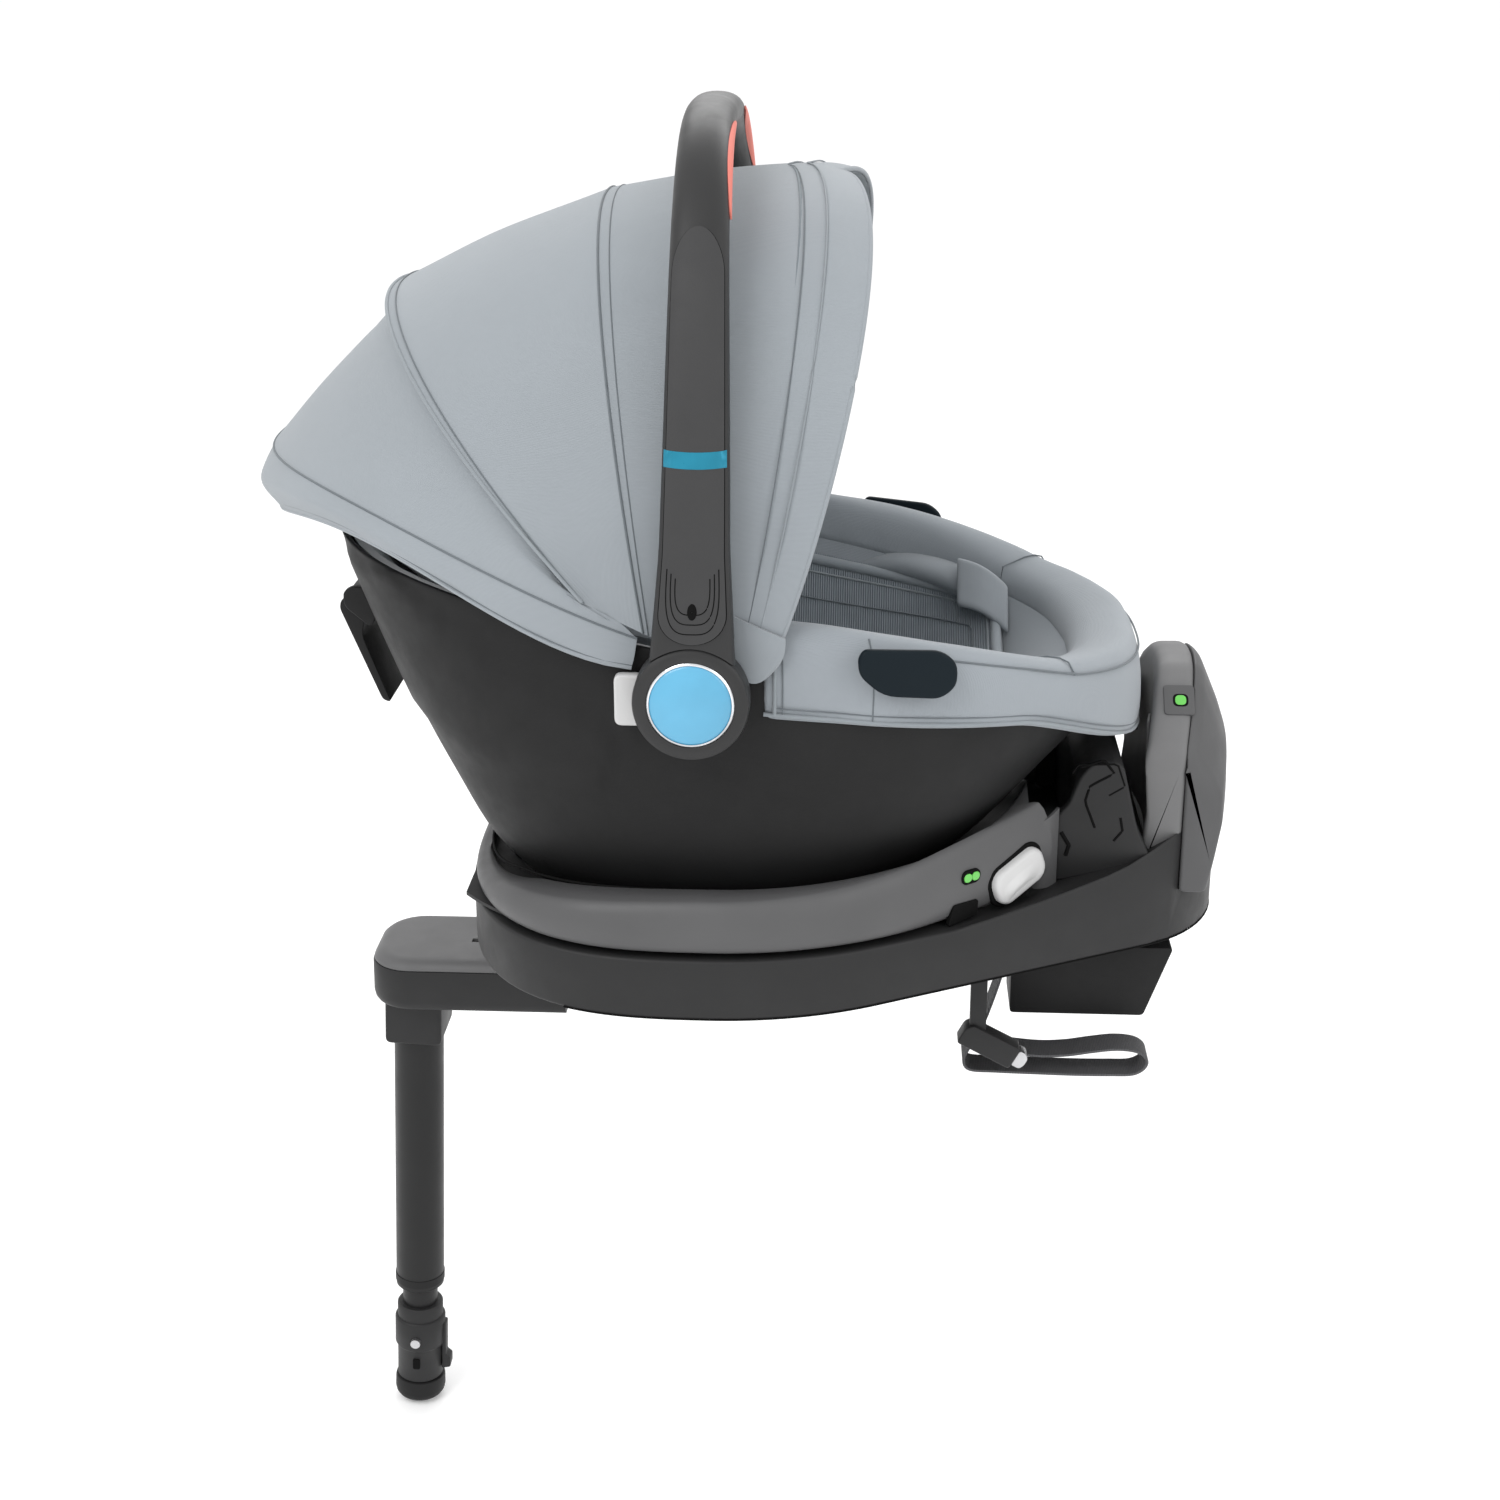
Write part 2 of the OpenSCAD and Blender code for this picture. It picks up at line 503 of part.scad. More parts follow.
// Section of the pad that wraps the rim, at angle a; o is how far it stands out from the shell.
pad_from = 80;
function pad_section(a) =
    let (rim = oval_r(a, shell_head, shell_foot, shell_w, 2.5),
         x = rim * cos(a), lip = rim_level_z(x),
         full = oval_r(a, pad_foot, pad_foot, pad_side, 2.5) - rim,
         out = x < 110 ? mix(1.8, full, clamp((x - 86) / 24, 0, 1)) : full,
         low = x < 200 ? 293 - 0.085 * (x - 36) : mix(279, 237, pow((x - 200) / 81, 1.4)),
         top = lip + 24 + 10 * pow(max(0, cos(a)), 2))
    [for (p = [[max(out - 1, 1.5), low], [out, mix(low, top, 0.35)], [out - 1, mix(low, top, 0.65)],
        [out - 6, top - 8], [out - 14, top], [out - 30, top - 1], [-29, rim_level_z(x - 28 * cos(a)) + 9],
        [-28, rim_level_z(x - 28 * cos(a)) + GAP],
        [0.5, lip + GAP], [0.5, low]])
        [(rim + p[0]) * cos(a), (rim + p[0]) * sin(a), p[1]]];
module open_loft(sections) {
    n = len(sections[0]);
    m = len(sections);
    polyhedron([for (s = sections) each s], concat([[for (i = [n - 1:-1:0]) i]],
        [for (j = [0:m - 2], i = [0:n - 1]) each let (a = j * n, b = a + n, k = (i + 1) % n)
            [[a + i, b + k, b + i], [a + i, a + k, b + k]]],
        [[for (i = [0:n - 1]) (m - 1) * n + i]]));
}
module seat_pad() color([0.68, 0.71, 0.74]) open_loft([for (i = [0:36])
    pad_section(mix(-pad_from, pad_from, i / 36))]);

// Each guide lies along the pad's side, its blade standing off the pad.
module on_guide() translate([129, -194.9, 329]) rotate([0, 0, 11.3]) children();
module belt_guides() color([0.12, 0.14, 0.16]) near_and_far() on_guide() {
    across(-13, -8.5) polygon([[-33, 9], [-29, 17], [23, 13], [32, 5], [33, -9], [23, -18],
        [-19, -14], [-30, -5]]);
    across(-8.6, -0.9) polygon([[-30, -5], [-19, -14], [23, -18], [29, -12], [-25, 0]]);
}

module pivot_bosses() color([0.2, 0.2, 0.2]) near_and_far() difference() {
    rod(37, hub_x, hub_z, -211.5, -199.7);
    rod(pin_r + 0.3, hub_x, hub_z, -215, -190);
    translate([-66, -214, 289.5]) cube([22, 16, 38.5]);
    translate([-80, -220, 328]) cube([140, 30, 40]);
}

module handle_pins() color([0.7, 0.7, 0.72]) near_and_far() {
    rod(pin_r, hub_x, hub_z, -233, -193.5);
    rod(pin_r + 1.8, hub_x, hub_z, -193.4, -188);
}

module shoulder_strap() {
    pts = [for (i = [0:10]) let (x = mix(-170, 8, i / 10)) [x, bowl_z(x, 63, 44) + 1.8]];
    across(-62, -30) polygon(concat([for (p = pts) p], [for (i = [10:-1:0]) pts[i] + [0, 1.6]]));
}
module crotch_strap() {
    pts = [for (i = [0:8]) let (x = mix(54, 96, i / 8))
        [x, bowl_z(x, 18, 44) + 1 + 9 * pow((96 - x) / 42, 2)]];
    across(-17, 17) polygon(concat([for (p = pts) p], [for (i = [8:-1:0]) pts[i] + [0, 1.6]]));
}
module harness_straps() color([0.3, 0.3, 0.31]) {
    near_and_far() shoulder_strap();
    crotch_strap();
}
module buckle() color([0.16, 0.16, 0.16]) translate([26, 0, 206]) rotate([0, 20, 0]) {
    translate([-18, -26, 0]) cube([40, 52, 16]);
    translate([-6, -12, 16]) cube([18, 24, 3]);
}
module chest_clip() color([0.16, 0.16, 0.16]) translate([-84, 0, bowl_z(-84, 63, 44) + 5]) rotate([0, 30, 0])
    translate([-11, -66, 0]) cube([22, 132, 8]);
module on_adjuster() translate([232, 0, bowl_z(232, 0, 28)]) rotate([0, -42, 0]) children();
module adjuster() color([0.12, 0.12, 0.13]) on_adjuster() {
    translate([-13, -11, -5]) cube([26, 22, 6]);
    translate([-7, -7, 1]) cube([14, 14, 4]);
}

release_x = -268;
release_z = 332;
module release_lug() across(-60, -53) difference() {
    union() {
        translate([release_x, release_z]) circle(8, $fn = 48);
        polygon([[release_x - 5, release_z - 6.2], [release_x + 18, release_z - 24],
            [release_x + 18, release_z + 14], [release_x, release_z + 8]]);
    }
    translate([release_x, release_z]) circle(4.05, $fn = 48);
}
module rear_release() color([0.12, 0.12, 0.12]) {
    across(-52, 52) polygon([[-254, 252], [-247.5, 250], [-274, 318], [-278, 326], [-282, 323]]);
    near_and_far() across(-52, -42)
        polygon([[-277, 314], [-272, 314], [-263, 328], [-268, 338], [-281, 327]]);
    rod(4, release_x, release_z, -60, 60);
}

// ---------- canopy ----------

// Bows turn in the brackets about one axis; a is the bow's angle above the foot end.
module bow(a, r, w, strip = 7) {
    apex = [bow_x + r * cos(a), bow_z + r * sin(a)];
    n = [cos(a), 0, sin(a)];
    t = [-sin(a), 0, cos(a)];
    row = [for (i = [0:M]) let (u = 180 * i / M, s = pow(sin(u), 2 / 2.3))
        [mix(bow_x, apex[0], s), -w * spow(cos(u), 2 / 2.3), mix(bow_z, apex[1], s)]];
    difference() {
        sheet([for (k = [0.5, -0.5]) [for (p = row) p + strip * k * t]],
            [for (k = [0.5, -0.5]) [for (p = row) let (d = p - [bow_x, 0, bow_z])
                p + strip * k * t - d * (3 / norm(d))]]);
        rod(9.3, bow_x, bow_z, -220, 220);
    }
}
// An eye that carries one leg of a bow on the bracket's pin.
module bow_eyes(y0, y1) near_and_far() difference() {
    rod(9, bow_x, bow_z, -y1, -y0);
    rod(3.05, bow_x, bow_z, -y1 - 1, -y0 + 1);
}
rear_a = 134;
mid_a = 103;
front_a = 73;

module canopy_brackets() color([0.2, 0.2, 0.2]) near_and_far() {
    rod(12, bow_x, bow_z, -203.2, -200);
    translate([bow_x - 12, -203.2, 328.4]) cube([24, 3.2, 18]);
    rod(3, bow_x, bow_z, -200.1, -184);
}
module rear_bow() color([0.5, 0.5, 0.5]) {
    bow(rear_a, 272, 186);
    bow_eyes(184.2, 188.5);
}
module mid_bow() color([0.5, 0.5, 0.5]) {
    bow(mid_a, 264, 191);
    bow_eyes(189, 193.5);
}
module front_bow() color([0.5, 0.5, 0.5]) {
    bow(front_a, 280, 197);
    bow_eyes(194.2, 199.6);
}

HEM = arch([-323, 400], [-52, 330], 206.5, 2.5, 0, [-45, 220]);
TAIL = arch([-336, 420], [-50, 338], 206.5, 2.5, 0, [-45, 200]);
SEAM_D = arch([-326, 444], [-48, 350], 205, 2.4, 0, [0, 90]);
SHOULDER = arch([-292, 484], [-62, 362], 203, 2.35, 0, [0, 30]);
REAR_STEP = arch([-252, 522], [-78, 366], 201.5, 2.3);
REAR_LAP = arch([-228, 548], [-86, 369.4], 199, 2.3);
SEAM_A = arch([-237, 552], [-84, 374.6], 205.4, 2.3);
CROWN = arch([-165, 590], [-66, 364], 206, 2.3);
SEAM_B = arch([-84, 617], [-44, 354], 206.5, 2.3);
TOP = arch([-8, 631], [-10, 341], 206.5, 2.3, 6);
SEAM_C = arch([56, 636], [24, 330], 206, 2.3, 22);
RIM = arch([77, 632], [38, 331], 205, 2.3, 32);

module canopy_skirt() color([0.68, 0.71, 0.74]) panel([HEM, TAIL, SEAM_D], 2.5);
module canopy_rear_panel() color([0.68, 0.71, 0.74])
    panel([[for (p = SEAM_D) p + [0.6, 0, 0.9]], SHOULDER, REAR_STEP, REAR_LAP], 2.4);
module canopy_mid_panel() color([0.68, 0.71, 0.74]) panel([SEAM_A, CROWN, SEAM_B], 2.5);
module canopy_front_panel() color([0.68, 0.71, 0.74])
    panel([[for (p = SEAM_B) p + [0.8, 0, 0]], TOP, SEAM_C, RIM], 2.5);

// ---------- handle ----------

handle_n = 2.7;
function arm_w(h) = h < 100 ? mix(60, 46, h / 100) : mix(46, 35, clamp((h - 100) / 250, 0, 1));
// Point on the handle's arch at angle u, with its outward direction.
function handle_point(u, off) =
    let (w = handle_in_w, r = handle_in_r, c = cos(u), s = sin(u),
         y = -w * spow(c, 2 / handle_n), z = r * pow(s, 2 / handle_n),
         g = [spow(y / w, handle_n - 1) / w, pow(z / r, handle_n - 1) / r], d = g / norm(g))
    [y + d[0] * off, z + d[1] * off];
function arch_u(i) = mix(1.2, 178.8, i / 64);
function handle_x(h) = hub_x + 4 * sin(clamp(h / 345, 0, 1) * 150);
// Rounded strap section from off0 to off1, as wide as the arm less 2 * inset.
function handle_section(u, off0, off1, inset, c) =
    let (p = handle_point(u, off0), q = handle_point(u, off1), w = arm_w(p[1]) / 2 - inset,
        x = handle_x(p[1]),
         dy = q - p)
    [for (e = [[-w + c, 0], [w - c, 0], [w, 0.2], [w, 0.62], [w - c, 0.92], [w / 3, 1], [-w / 3, 1],
        [-w + c, 0.92], [-w, 0.62], [-w, 0.2]])
        [x + e[0], p[0] + dy[0] * e[1], hub_z + p[1] + dy[1] * e[1]]];

module handle_arch() color([0.25, 0.25, 0.25]) difference() {
    open_loft([for (i = [0:64]) handle_section(arch_u(i), 0.4, handle_t, 0, 5)]);
    rod(hub_r + 0.3, hub_x, hub_z, -250, 250);
}

module handle_hubs() color([0.22, 0.22, 0.22]) near_and_far() difference() {
    rod(hub_r, hub_x, hub_z, -hub_out, -hub_in);
    rod(pin_r + 0.05, hub_x, hub_z, -hub_out - 1, -hub_in + 1);
    rod(cap_r + 1.4, hub_x, hub_z, -hub_out - 1, -hub_out + 1.8);
}

module hub_caps() color([0.55, 0.78, 0.9]) near_and_far() translate([hub_x, -hub_out + 1.7, hub_z])
    rotate([90, 0, 0]) rotate_extrude($fn = 96)
    polygon([[0, 0], [cap_r + 1.2, 0], [cap_r + 1.2, 1.8], [cap_r, 2], [cap_r - 6, 3.2], [12, 4.4],
        [0, 4.7]]);

// Inlay on the outside of each arm, with a thin band across it and the soft pad under the grip.
module handle_inlays() color([0.3, 0.3, 0.3]) near_and_far()
    open_loft([for (i = [1:19]) handle_section(arch_u(i), handle_t + 0.1, handle_t + 1, 9, 1)]);
module handle_bands() color([0.25, 0.55, 0.66]) near_and_far()
    open_loft([for (u = [20, 21.9]) handle_section(u, handle_t + 1.1, handle_t + 2, 8.5, 1)]);
module grip_insert() color([0.9, 0.55, 0.5]) near_and_far() open_loft([for (i = [19:29])
    let (u = arch_u(i), p = handle_point(u, 5.6), q = handle_point(u, 14.4), h = handle_point(u, 0.4)[1],
         w = arm_w(h) / 2)
    [for (e = [[w + 0.05, 0], [w + 2.2, 0.15], [w + 2.2, 0.85], [w + 0.05, 1]])
        [handle_x(h) + e[0], mix(p[0], q[0], e[1]), hub_z + mix(p[1], q[1], e[1])]]]);

module handle_button() color([0.92, 0.92, 0.92]) across(-211.6, -202.2) rounded(-63.6, 291, -44.4, 326.5, 5);
module handle_button_near() handle_button();
module handle_button_far() mirror([0, 1, 0]) handle_button();

base_shell();
base_deck();
rear_housing();
rebound_bar_inner();
rebound_bar_outer();
level_bezel();
level_lens();
bar_plates();
leg_arm_housing();
leg_arm_cover();
leg_pin();
bearing_race();
front_lever();
tether_strap();
anchor_connectors();
anchor_tips();
turntable_tray();
turntable_ring();
latch_tower();
spigot_retainer();
rotate_button_near();
rotate_button_far();
lock_windows();
leg_socket();
leg_outer_tube();
leg_inner_tube();
foot_collar();
foot_cap();
foot_knob();
foot_window();
foot_lever();
carrier_shell();
foam_liner();
seat_cushion();
infant_insert();
seat_pad();
belt_guides();
pivot_bosses();
handle_pins();
harness_straps();
buckle();
chest_clip();
adjuster();
rear_release();
canopy_brackets();
rear_bow();
canopy_skirt();
canopy_rear_panel();
mid_bow();
canopy_mid_panel();
front_bow();
canopy_front_panel();
handle_arch();
handle_hubs();
hub_caps();
handle_inlays();
handle_bands();
grip_insert();
handle_button_near();
handle_button_far();
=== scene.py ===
from math import acos, atan2, cos, degrees, hypot, pi, radians, sin, sqrt
import bmesh
import bpy
import numpy as np
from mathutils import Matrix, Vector, noise


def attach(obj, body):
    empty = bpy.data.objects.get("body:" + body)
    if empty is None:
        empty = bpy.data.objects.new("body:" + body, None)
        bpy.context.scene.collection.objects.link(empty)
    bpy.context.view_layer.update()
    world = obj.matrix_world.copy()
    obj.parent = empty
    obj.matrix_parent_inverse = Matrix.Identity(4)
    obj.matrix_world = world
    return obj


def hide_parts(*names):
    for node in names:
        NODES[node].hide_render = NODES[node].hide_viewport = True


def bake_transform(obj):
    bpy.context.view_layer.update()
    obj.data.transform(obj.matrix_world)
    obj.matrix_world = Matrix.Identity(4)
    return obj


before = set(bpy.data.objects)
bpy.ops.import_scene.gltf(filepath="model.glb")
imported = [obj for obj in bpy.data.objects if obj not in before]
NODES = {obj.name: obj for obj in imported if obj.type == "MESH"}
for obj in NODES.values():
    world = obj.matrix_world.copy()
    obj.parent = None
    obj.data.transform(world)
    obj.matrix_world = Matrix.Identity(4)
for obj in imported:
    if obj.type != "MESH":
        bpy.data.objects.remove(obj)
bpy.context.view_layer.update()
MM = 0.001
BOTH = ((-1, "near"), (1, "far"))

# ---------- camera, light and floor ----------

camera = bpy.data.objects.new("camera", bpy.data.cameras.new("camera"))
bpy.context.scene.collection.objects.link(camera)
camera.data.lens = 55.2
camera.data.sensor_width = 36
camera.location = (0.1023, -1.650, 0.800)
camera.rotation_euler = (radians(70), 0, radians(3))
bpy.context.scene.camera = camera


def area_light(name, place, target, size, power):
    data = bpy.data.lights.new(name, "AREA")
    data.shape = "RECTANGLE"
    data.size, data.size_y = size
    data.energy = power
    light = bpy.data.objects.new(name, data)
    light.location = place
    light.rotation_euler = (Vector(target) - Vector(place)).to_track_quat("-Z", "Y").to_euler()
    bpy.context.scene.collection.objects.link(light)


area_light("key", (-1.3, -1.7, 2.3), (0, 0, 0.25), (1.6, 1.6), 34)
area_light("fill", (1.9, -1.5, 1.5), (0.1, 0, 0.25), (1.6, 1.6), 14)
area_light("back", (0.3, 2.0, 2.1), (0, 0, 0.3), (2.4, 1.2), 26)
world = bpy.data.worlds.new("studio")
world.use_nodes = True
world.node_tree.nodes["Background"].inputs["Color"].default_value = (1, 1, 1, 1)
world.node_tree.nodes["Background"].inputs["Strength"].default_value = 0.96
bpy.context.scene.world = world
bpy.context.scene.view_settings.view_transform = "Standard"

# ---------- materials ----------


def settle(node, **values):
    for key, value in values.items():
        node.inputs[key.replace("_", " ")].default_value = value


def graph(name, color, rough, metallic=0.0):
    mat = bpy.data.materials.new(name)
    mat.use_nodes = True
    nt = mat.node_tree
    shader = nt.nodes["Principled BSDF"]
    settle(shader, Base_Color=(*color, 1), Roughness=rough, Metallic=metallic)
    coords = nt.nodes.new("ShaderNodeTexCoord")
    return mat, nt, shader, coords.outputs["Object"]


def noise_tex(nt, coords, scale, detail=3.0, rough=0.5):
    n = nt.nodes.new("ShaderNodeTexNoise")
    settle(n, Scale=scale, Detail=detail, Roughness=rough)
    nt.links.new(coords, n.inputs["Vector"])
    return n.outputs["Fac"]


def ramp(nt, fac, low, high, start=0.3, end=0.7):
    r = nt.nodes.new("ShaderNodeMapRange")
    settle(r, From_Min=start, From_Max=end, To_Min=low, To_Max=high)
    nt.links.new(fac, r.inputs["Value"])
    return r.outputs["Result"]


def tint(nt, shader, color, fac, spread):
    mix = nt.nodes.new("ShaderNodeMix")
    mix.data_type = "RGBA"
    mix.inputs["A"].default_value = (*[c * (1 - spread) for c in color], 1)
    mix.inputs["B"].default_value = (*[min(1, c * (1 + spread)) for c in color], 1)
    nt.links.new(fac, mix.inputs["Factor"])
    nt.links.new(mix.outputs["Result"], shader.inputs["Base Color"])


def bump(nt, shader, heights):
    normal = None
    for fac, strength, distance in heights:
        b = nt.nodes.new("ShaderNodeBump")
        settle(b, Strength=strength, Distance=distance)
        nt.links.new(fac, b.inputs["Height"])
        if normal:
            nt.links.new(normal, b.inputs["Normal"])
        normal = b.outputs["Normal"]
    nt.links.new(normal, shader.inputs["Normal"])


# Moulded plastic: fine spark-eroded grain, faint flow marks and uneven gloss.
def plastic(name, color, rough=0.5, grain=0.35, spread=0.06, metallic=0.0, coat=0.0, gloss=0.3):
    mat, nt, shader, coords = graph(name, color, rough, metallic)
    tint(nt, shader, color, ramp(nt, noise_tex(nt, coords, 14, 4), 0, 1), spread)
    nt.links.new(ramp(nt, noise_tex(nt, coords, 45, 5, 0.6), rough - 0.05, rough + 0.06),
        shader.inputs["Roughness"])
    bump(nt, shader, [(noise_tex(nt, coords, 1500, 2), grain, 0.0002),
                      (noise_tex(nt, coords, 9, 2), 0.05, 0.002)])
    settle(shader, Coat_Weight=coat, Specular_IOR_Level=gloss)
    return mat


def wave(nt, coords, scale, direction, distortion=0.6):
    w = nt.nodes.new("ShaderNodeTexWave")
    w.bands_direction = direction
    settle(w, Scale=scale, Distortion=distortion, Detail=1.0, Detail_Scale=2.0)
    nt.links.new(coords, w.inputs["Vector"])
    return w.outputs["Fac"]


def product(nt, a, b, op="MULTIPLY"):
    m = nt.nodes.new("ShaderNodeMath")
    m.operation = op
    nt.links.new(a, m.inputs[0])
    nt.links.new(b, m.inputs[1])
    return m.outputs["Value"]


# Woven cloth: crossed threads along the object's axes, slubs, a soft sheen and slight fading.
def cloth(name, color, thread=520, weave=0.35, spread=0.05, sheen=0.25, slack=0.25):
    mat, nt, shader, coords = graph(name, color, 0.88)
    threads = product(nt, product(nt, wave(nt, coords, thread, "X"), wave(nt, coords, thread, "Z"), "ADD"),
                      wave(nt, coords, thread, "Y"), "ADD")
    shade = product(nt, ramp(nt, noise_tex(nt, coords, 9, 4), 0.2, 0.8),
        ramp(nt, threads, 0.7, 1.15, 0.4, 2.4))
    tint(nt, shader, color, shade, spread)
    bump(nt, shader, [(threads, weave, 0.0004), (noise_tex(nt, coords, 900, 3), 0.2, 0.0003),
                      (noise_tex(nt, coords, 16, 3), slack, 0.004)])
    settle(shader, Sheen_Weight=sheen, Sheen_Roughness=0.6, Specular_IOR_Level=0.25)
    return mat


# Ribbed knit of the insert, with a fine cord along the seat.
def knit(name, color):
    mat, nt, shader, coords = graph(name, color, 0.9)
    ribs = wave(nt, coords, 170, "X", 0.3)
    tint(nt, shader, color, ramp(nt, ribs, 0.15, 0.85, 0, 1), 0.16)
    bump(nt, shader, [(ribs, 0.6, 0.0012), (noise_tex(nt, coords, 1100, 2), 0.3, 0.0003)])
    shader.inputs["Sheen Weight"].default_value = 0.2
    return mat


def webbing(name, color):
    mat, nt, shader, coords = graph(name, color, 0.7)
    rows = product(nt, wave(nt, coords, 260, "X", 0.1), wave(nt, coords, 420, "Y", 0.1))
    tint(nt, shader, color, rows, 0.3)
    bump(nt, shader, [(rows, 0.6, 0.0008)])
    return mat


def metal(name, color, rough):
    mat, nt, shader, coords = graph(name, color, rough, 1.0)
    stretch = nt.nodes.new("ShaderNodeMapping")
    stretch.inputs["Scale"].default_value = (900, 900, 40)
    nt.links.new(coords, stretch.inputs["Vector"])
    lines = noise_tex(nt, stretch.outputs["Vector"], 1.0, 3)
    nt.links.new(ramp(nt, lines, rough - 0.06, rough + 0.12), shader.inputs["Roughness"])
    bump(nt, shader, [(lines, 0.12, 0.0002)])
    return mat


SHELL = plastic("shell_plastic", (0.011, 0.011, 0.0113), 0.55, 0.4, gloss=0.22)
BELLY = plastic("belly_plastic", (0.010, 0.010, 0.0103), 0.55, 0.4, gloss=0.2)
BASE = plastic("base_plastic", (0.021, 0.021, 0.0215), 0.5, 0.3, gloss=0.25)
# Near-black for holes, gaps, grooves, joints and one small dark dot; in the holes, gaps, grooves and joints
# it is painted shade.
SHADE_BLACK = plastic("recess_plastic", (0.004, 0.004, 0.004), 0.8, 0.3, gloss=0.1)
RING = plastic("ring_plastic", (0.088, 0.088, 0.09), 0.42, 0.25)
BAR = plastic("bar_plastic", (0.15, 0.15, 0.152), 0.5, 0.35)
BAR_BACK = plastic("bar_cover_plastic", (0.085, 0.085, 0.087), 0.5, 0.35)
ARM = plastic("arm_plastic", (0.12, 0.12, 0.122), 0.45, 0.35)
TUBE = plastic("tube_coating", (0.014, 0.014, 0.0143), 0.4, 0.2, gloss=0.25)
HANDLE = plastic("handle_plastic", (0.022, 0.022, 0.0225), 0.42, 0.45, gloss=0.35)
INLAY = plastic("inlay_rubber", (0.040, 0.040, 0.041), 0.62, 0.6, gloss=0.3)
WHITE = plastic("white_plastic", (0.56, 0.56, 0.56), 0.35, 0.15, 0.02)
GREEN = plastic("green_window", (0.13, 0.52, 0.09), 0.25, 0.05, 0.12, coat=0.4)
BLUE = plastic("cap_plastic", (0.10, 0.36, 0.55), 0.18, 0.05, 0.12, coat=0.6)
BAND = plastic("band_foil", (0.02, 0.24, 0.36), 0.3, 0.3, 0.35, metallic=0.4)
CORAL = plastic("coral_rubber", (0.72, 0.20, 0.16), 0.6, 0.3, 0.04)
GUIDE = plastic("guide_plastic", (0.006, 0.011, 0.015), 0.5, 0.3, gloss=0.12)
FOAM = plastic("foam", (0.6, 0.6, 0.6), 0.9, 0.8)
CHROME = metal("chrome", (0.75, 0.76, 0.78), 0.16)
STEEL = metal("steel", (0.55, 0.55, 0.56), 0.35)
CANOPY = cloth("canopy_cloth", (0.285, 0.312, 0.336))
PAD = cloth("pad_cloth", (0.285, 0.312, 0.338))
INNER = cloth("inner_cloth", (0.27, 0.30, 0.325))
LINING = cloth("lining_cloth", (0.17, 0.20, 0.22))
QUILT = knit("quilt_knit", (0.21, 0.238, 0.262))
THREAD = cloth("seam_thread", (0.13, 0.15, 0.165), 900)
PIPING = cloth("piping_cloth", (0.26, 0.288, 0.31), 900)
STRAP = webbing("webbing", (0.075, 0.075, 0.08))


def paint(names, mat):
    for name in names:
        data = NODES[name].data
        data.materials.clear()
        data.materials.append(mat)


paint(["base_shell", "rear_housing", "foot_cap", "rear_release", "buckle", "chest_clip", "adjuster"], SHELL)
paint(["base_deck", "turntable_tray", "latch_tower", "leg_arm_housing", "leg_socket", "foot_collar",
       "foot_lever", "pivot_bosses", "canopy_brackets", "anchor_connectors"], BASE)
paint(["turntable_ring", "level_bezel"], RING)
paint(["rebound_bar_inner", "bar_plates"], BAR)
paint(["rebound_bar_outer"], BAR_BACK)
paint(["leg_arm_cover"], ARM)
paint(["leg_outer_tube", "leg_inner_tube", "rear_bow", "mid_bow", "front_bow"], TUBE)
paint(["handle_arch", "handle_hubs"], HANDLE)
paint(["handle_inlays", "foot_window"], INLAY)
paint(["front_lever", "rotate_button_near", "rotate_button_far", "handle_button_near", "handle_button_far"],
    WHITE)
paint(["level_lens", "lock_windows"], GREEN)
paint(["hub_caps"], BLUE)
paint(["handle_bands"], BAND)
paint(["grip_insert"], CORAL)
paint(["belt_guides"], GUIDE)
paint(["foam_liner"], FOAM)
paint(["leg_pin", "bearing_race", "spigot_retainer", "anchor_tips", "foot_knob", "handle_pins"], STEEL)
paint(["tether_strap", "harness_straps"], STRAP)
paint(["carrier_shell"], SHELL)
paint(["canopy_skirt", "canopy_rear_panel", "canopy_mid_panel", "canopy_front_panel"], CANOPY)
paint(["seat_pad"], PAD)
paint(["seat_cushion"], INNER)
paint(["infant_insert"], QUILT)

# ---------- mesh tools ----------


def smooth_mesh(me, angle=38):
    bm = bmesh.new()
    bm.from_mesh(me)
    bmesh.ops.recalc_face_normals(bm, faces=bm.faces)
    limit = radians(angle)
    for f in bm.faces:
        f.smooth = True
    for e in bm.edges:
        e.smooth = len(e.link_faces) != 2 or e.calc_face_angle(0) < limit
    bm.to_mesh(me)
    bm.free()


def new_piece(name, verts, faces, mat, angle=38):
    me = bpy.data.meshes.new(name)
    me.from_pydata([tuple(v) for v in np.asarray(verts, float) * MM], [], faces)
    smooth_mesh(me, angle)
    me.materials.append(mat)
    ob = bpy.data.objects.new(name, me)
    bpy.context.scene.collection.objects.link(ob)
    return ob


# A surface through rows of points; ring joins each row's ends, loop joins the last row to the first.
def skin(name, rows, mat, ring=False, loop=False, caps=False, angle=38):
    rows = np.array(rows, float)
    m, n = rows.shape[:2]
    faces = []
    for j in range(m if loop else m - 1):
        for i in range(n if ring else n - 1):
            k, l = (i + 1) % n, (j + 1) % m
            faces.append((j * n + i, j * n + k, l * n + k, l * n + i))
    if caps:
        faces.append(tuple(range(n)))
        faces.append(tuple((m - 1) * n + i for i in range(n)))
    return new_piece(name, rows.reshape(-1, 3), faces, mat, angle)


def bake(ob, angle=38):
    dg = bpy.context.evaluated_depsgraph_get()
    me = bpy.data.meshes.new_from_object(ob.evaluated_get(dg))
    ob.modifiers.clear()
    ob.data = me
    smooth_mesh(me, angle)
    return ob


def modify(ob, kind, angle, **values):
    mod = ob.modifiers.new(kind.lower(), kind)
    for key, value in values.items():
        setattr(mod, key, value)
    return bake(ob, angle)


def subdivide(ob, levels=1, angle=60):
    return modify(ob, "SUBSURF", angle, levels=levels, render_levels=levels)


def thicken(ob, t, offset=-1, angle=60):
    return modify(ob, "SOLIDIFY", angle, thickness=t * MM, offset=offset)


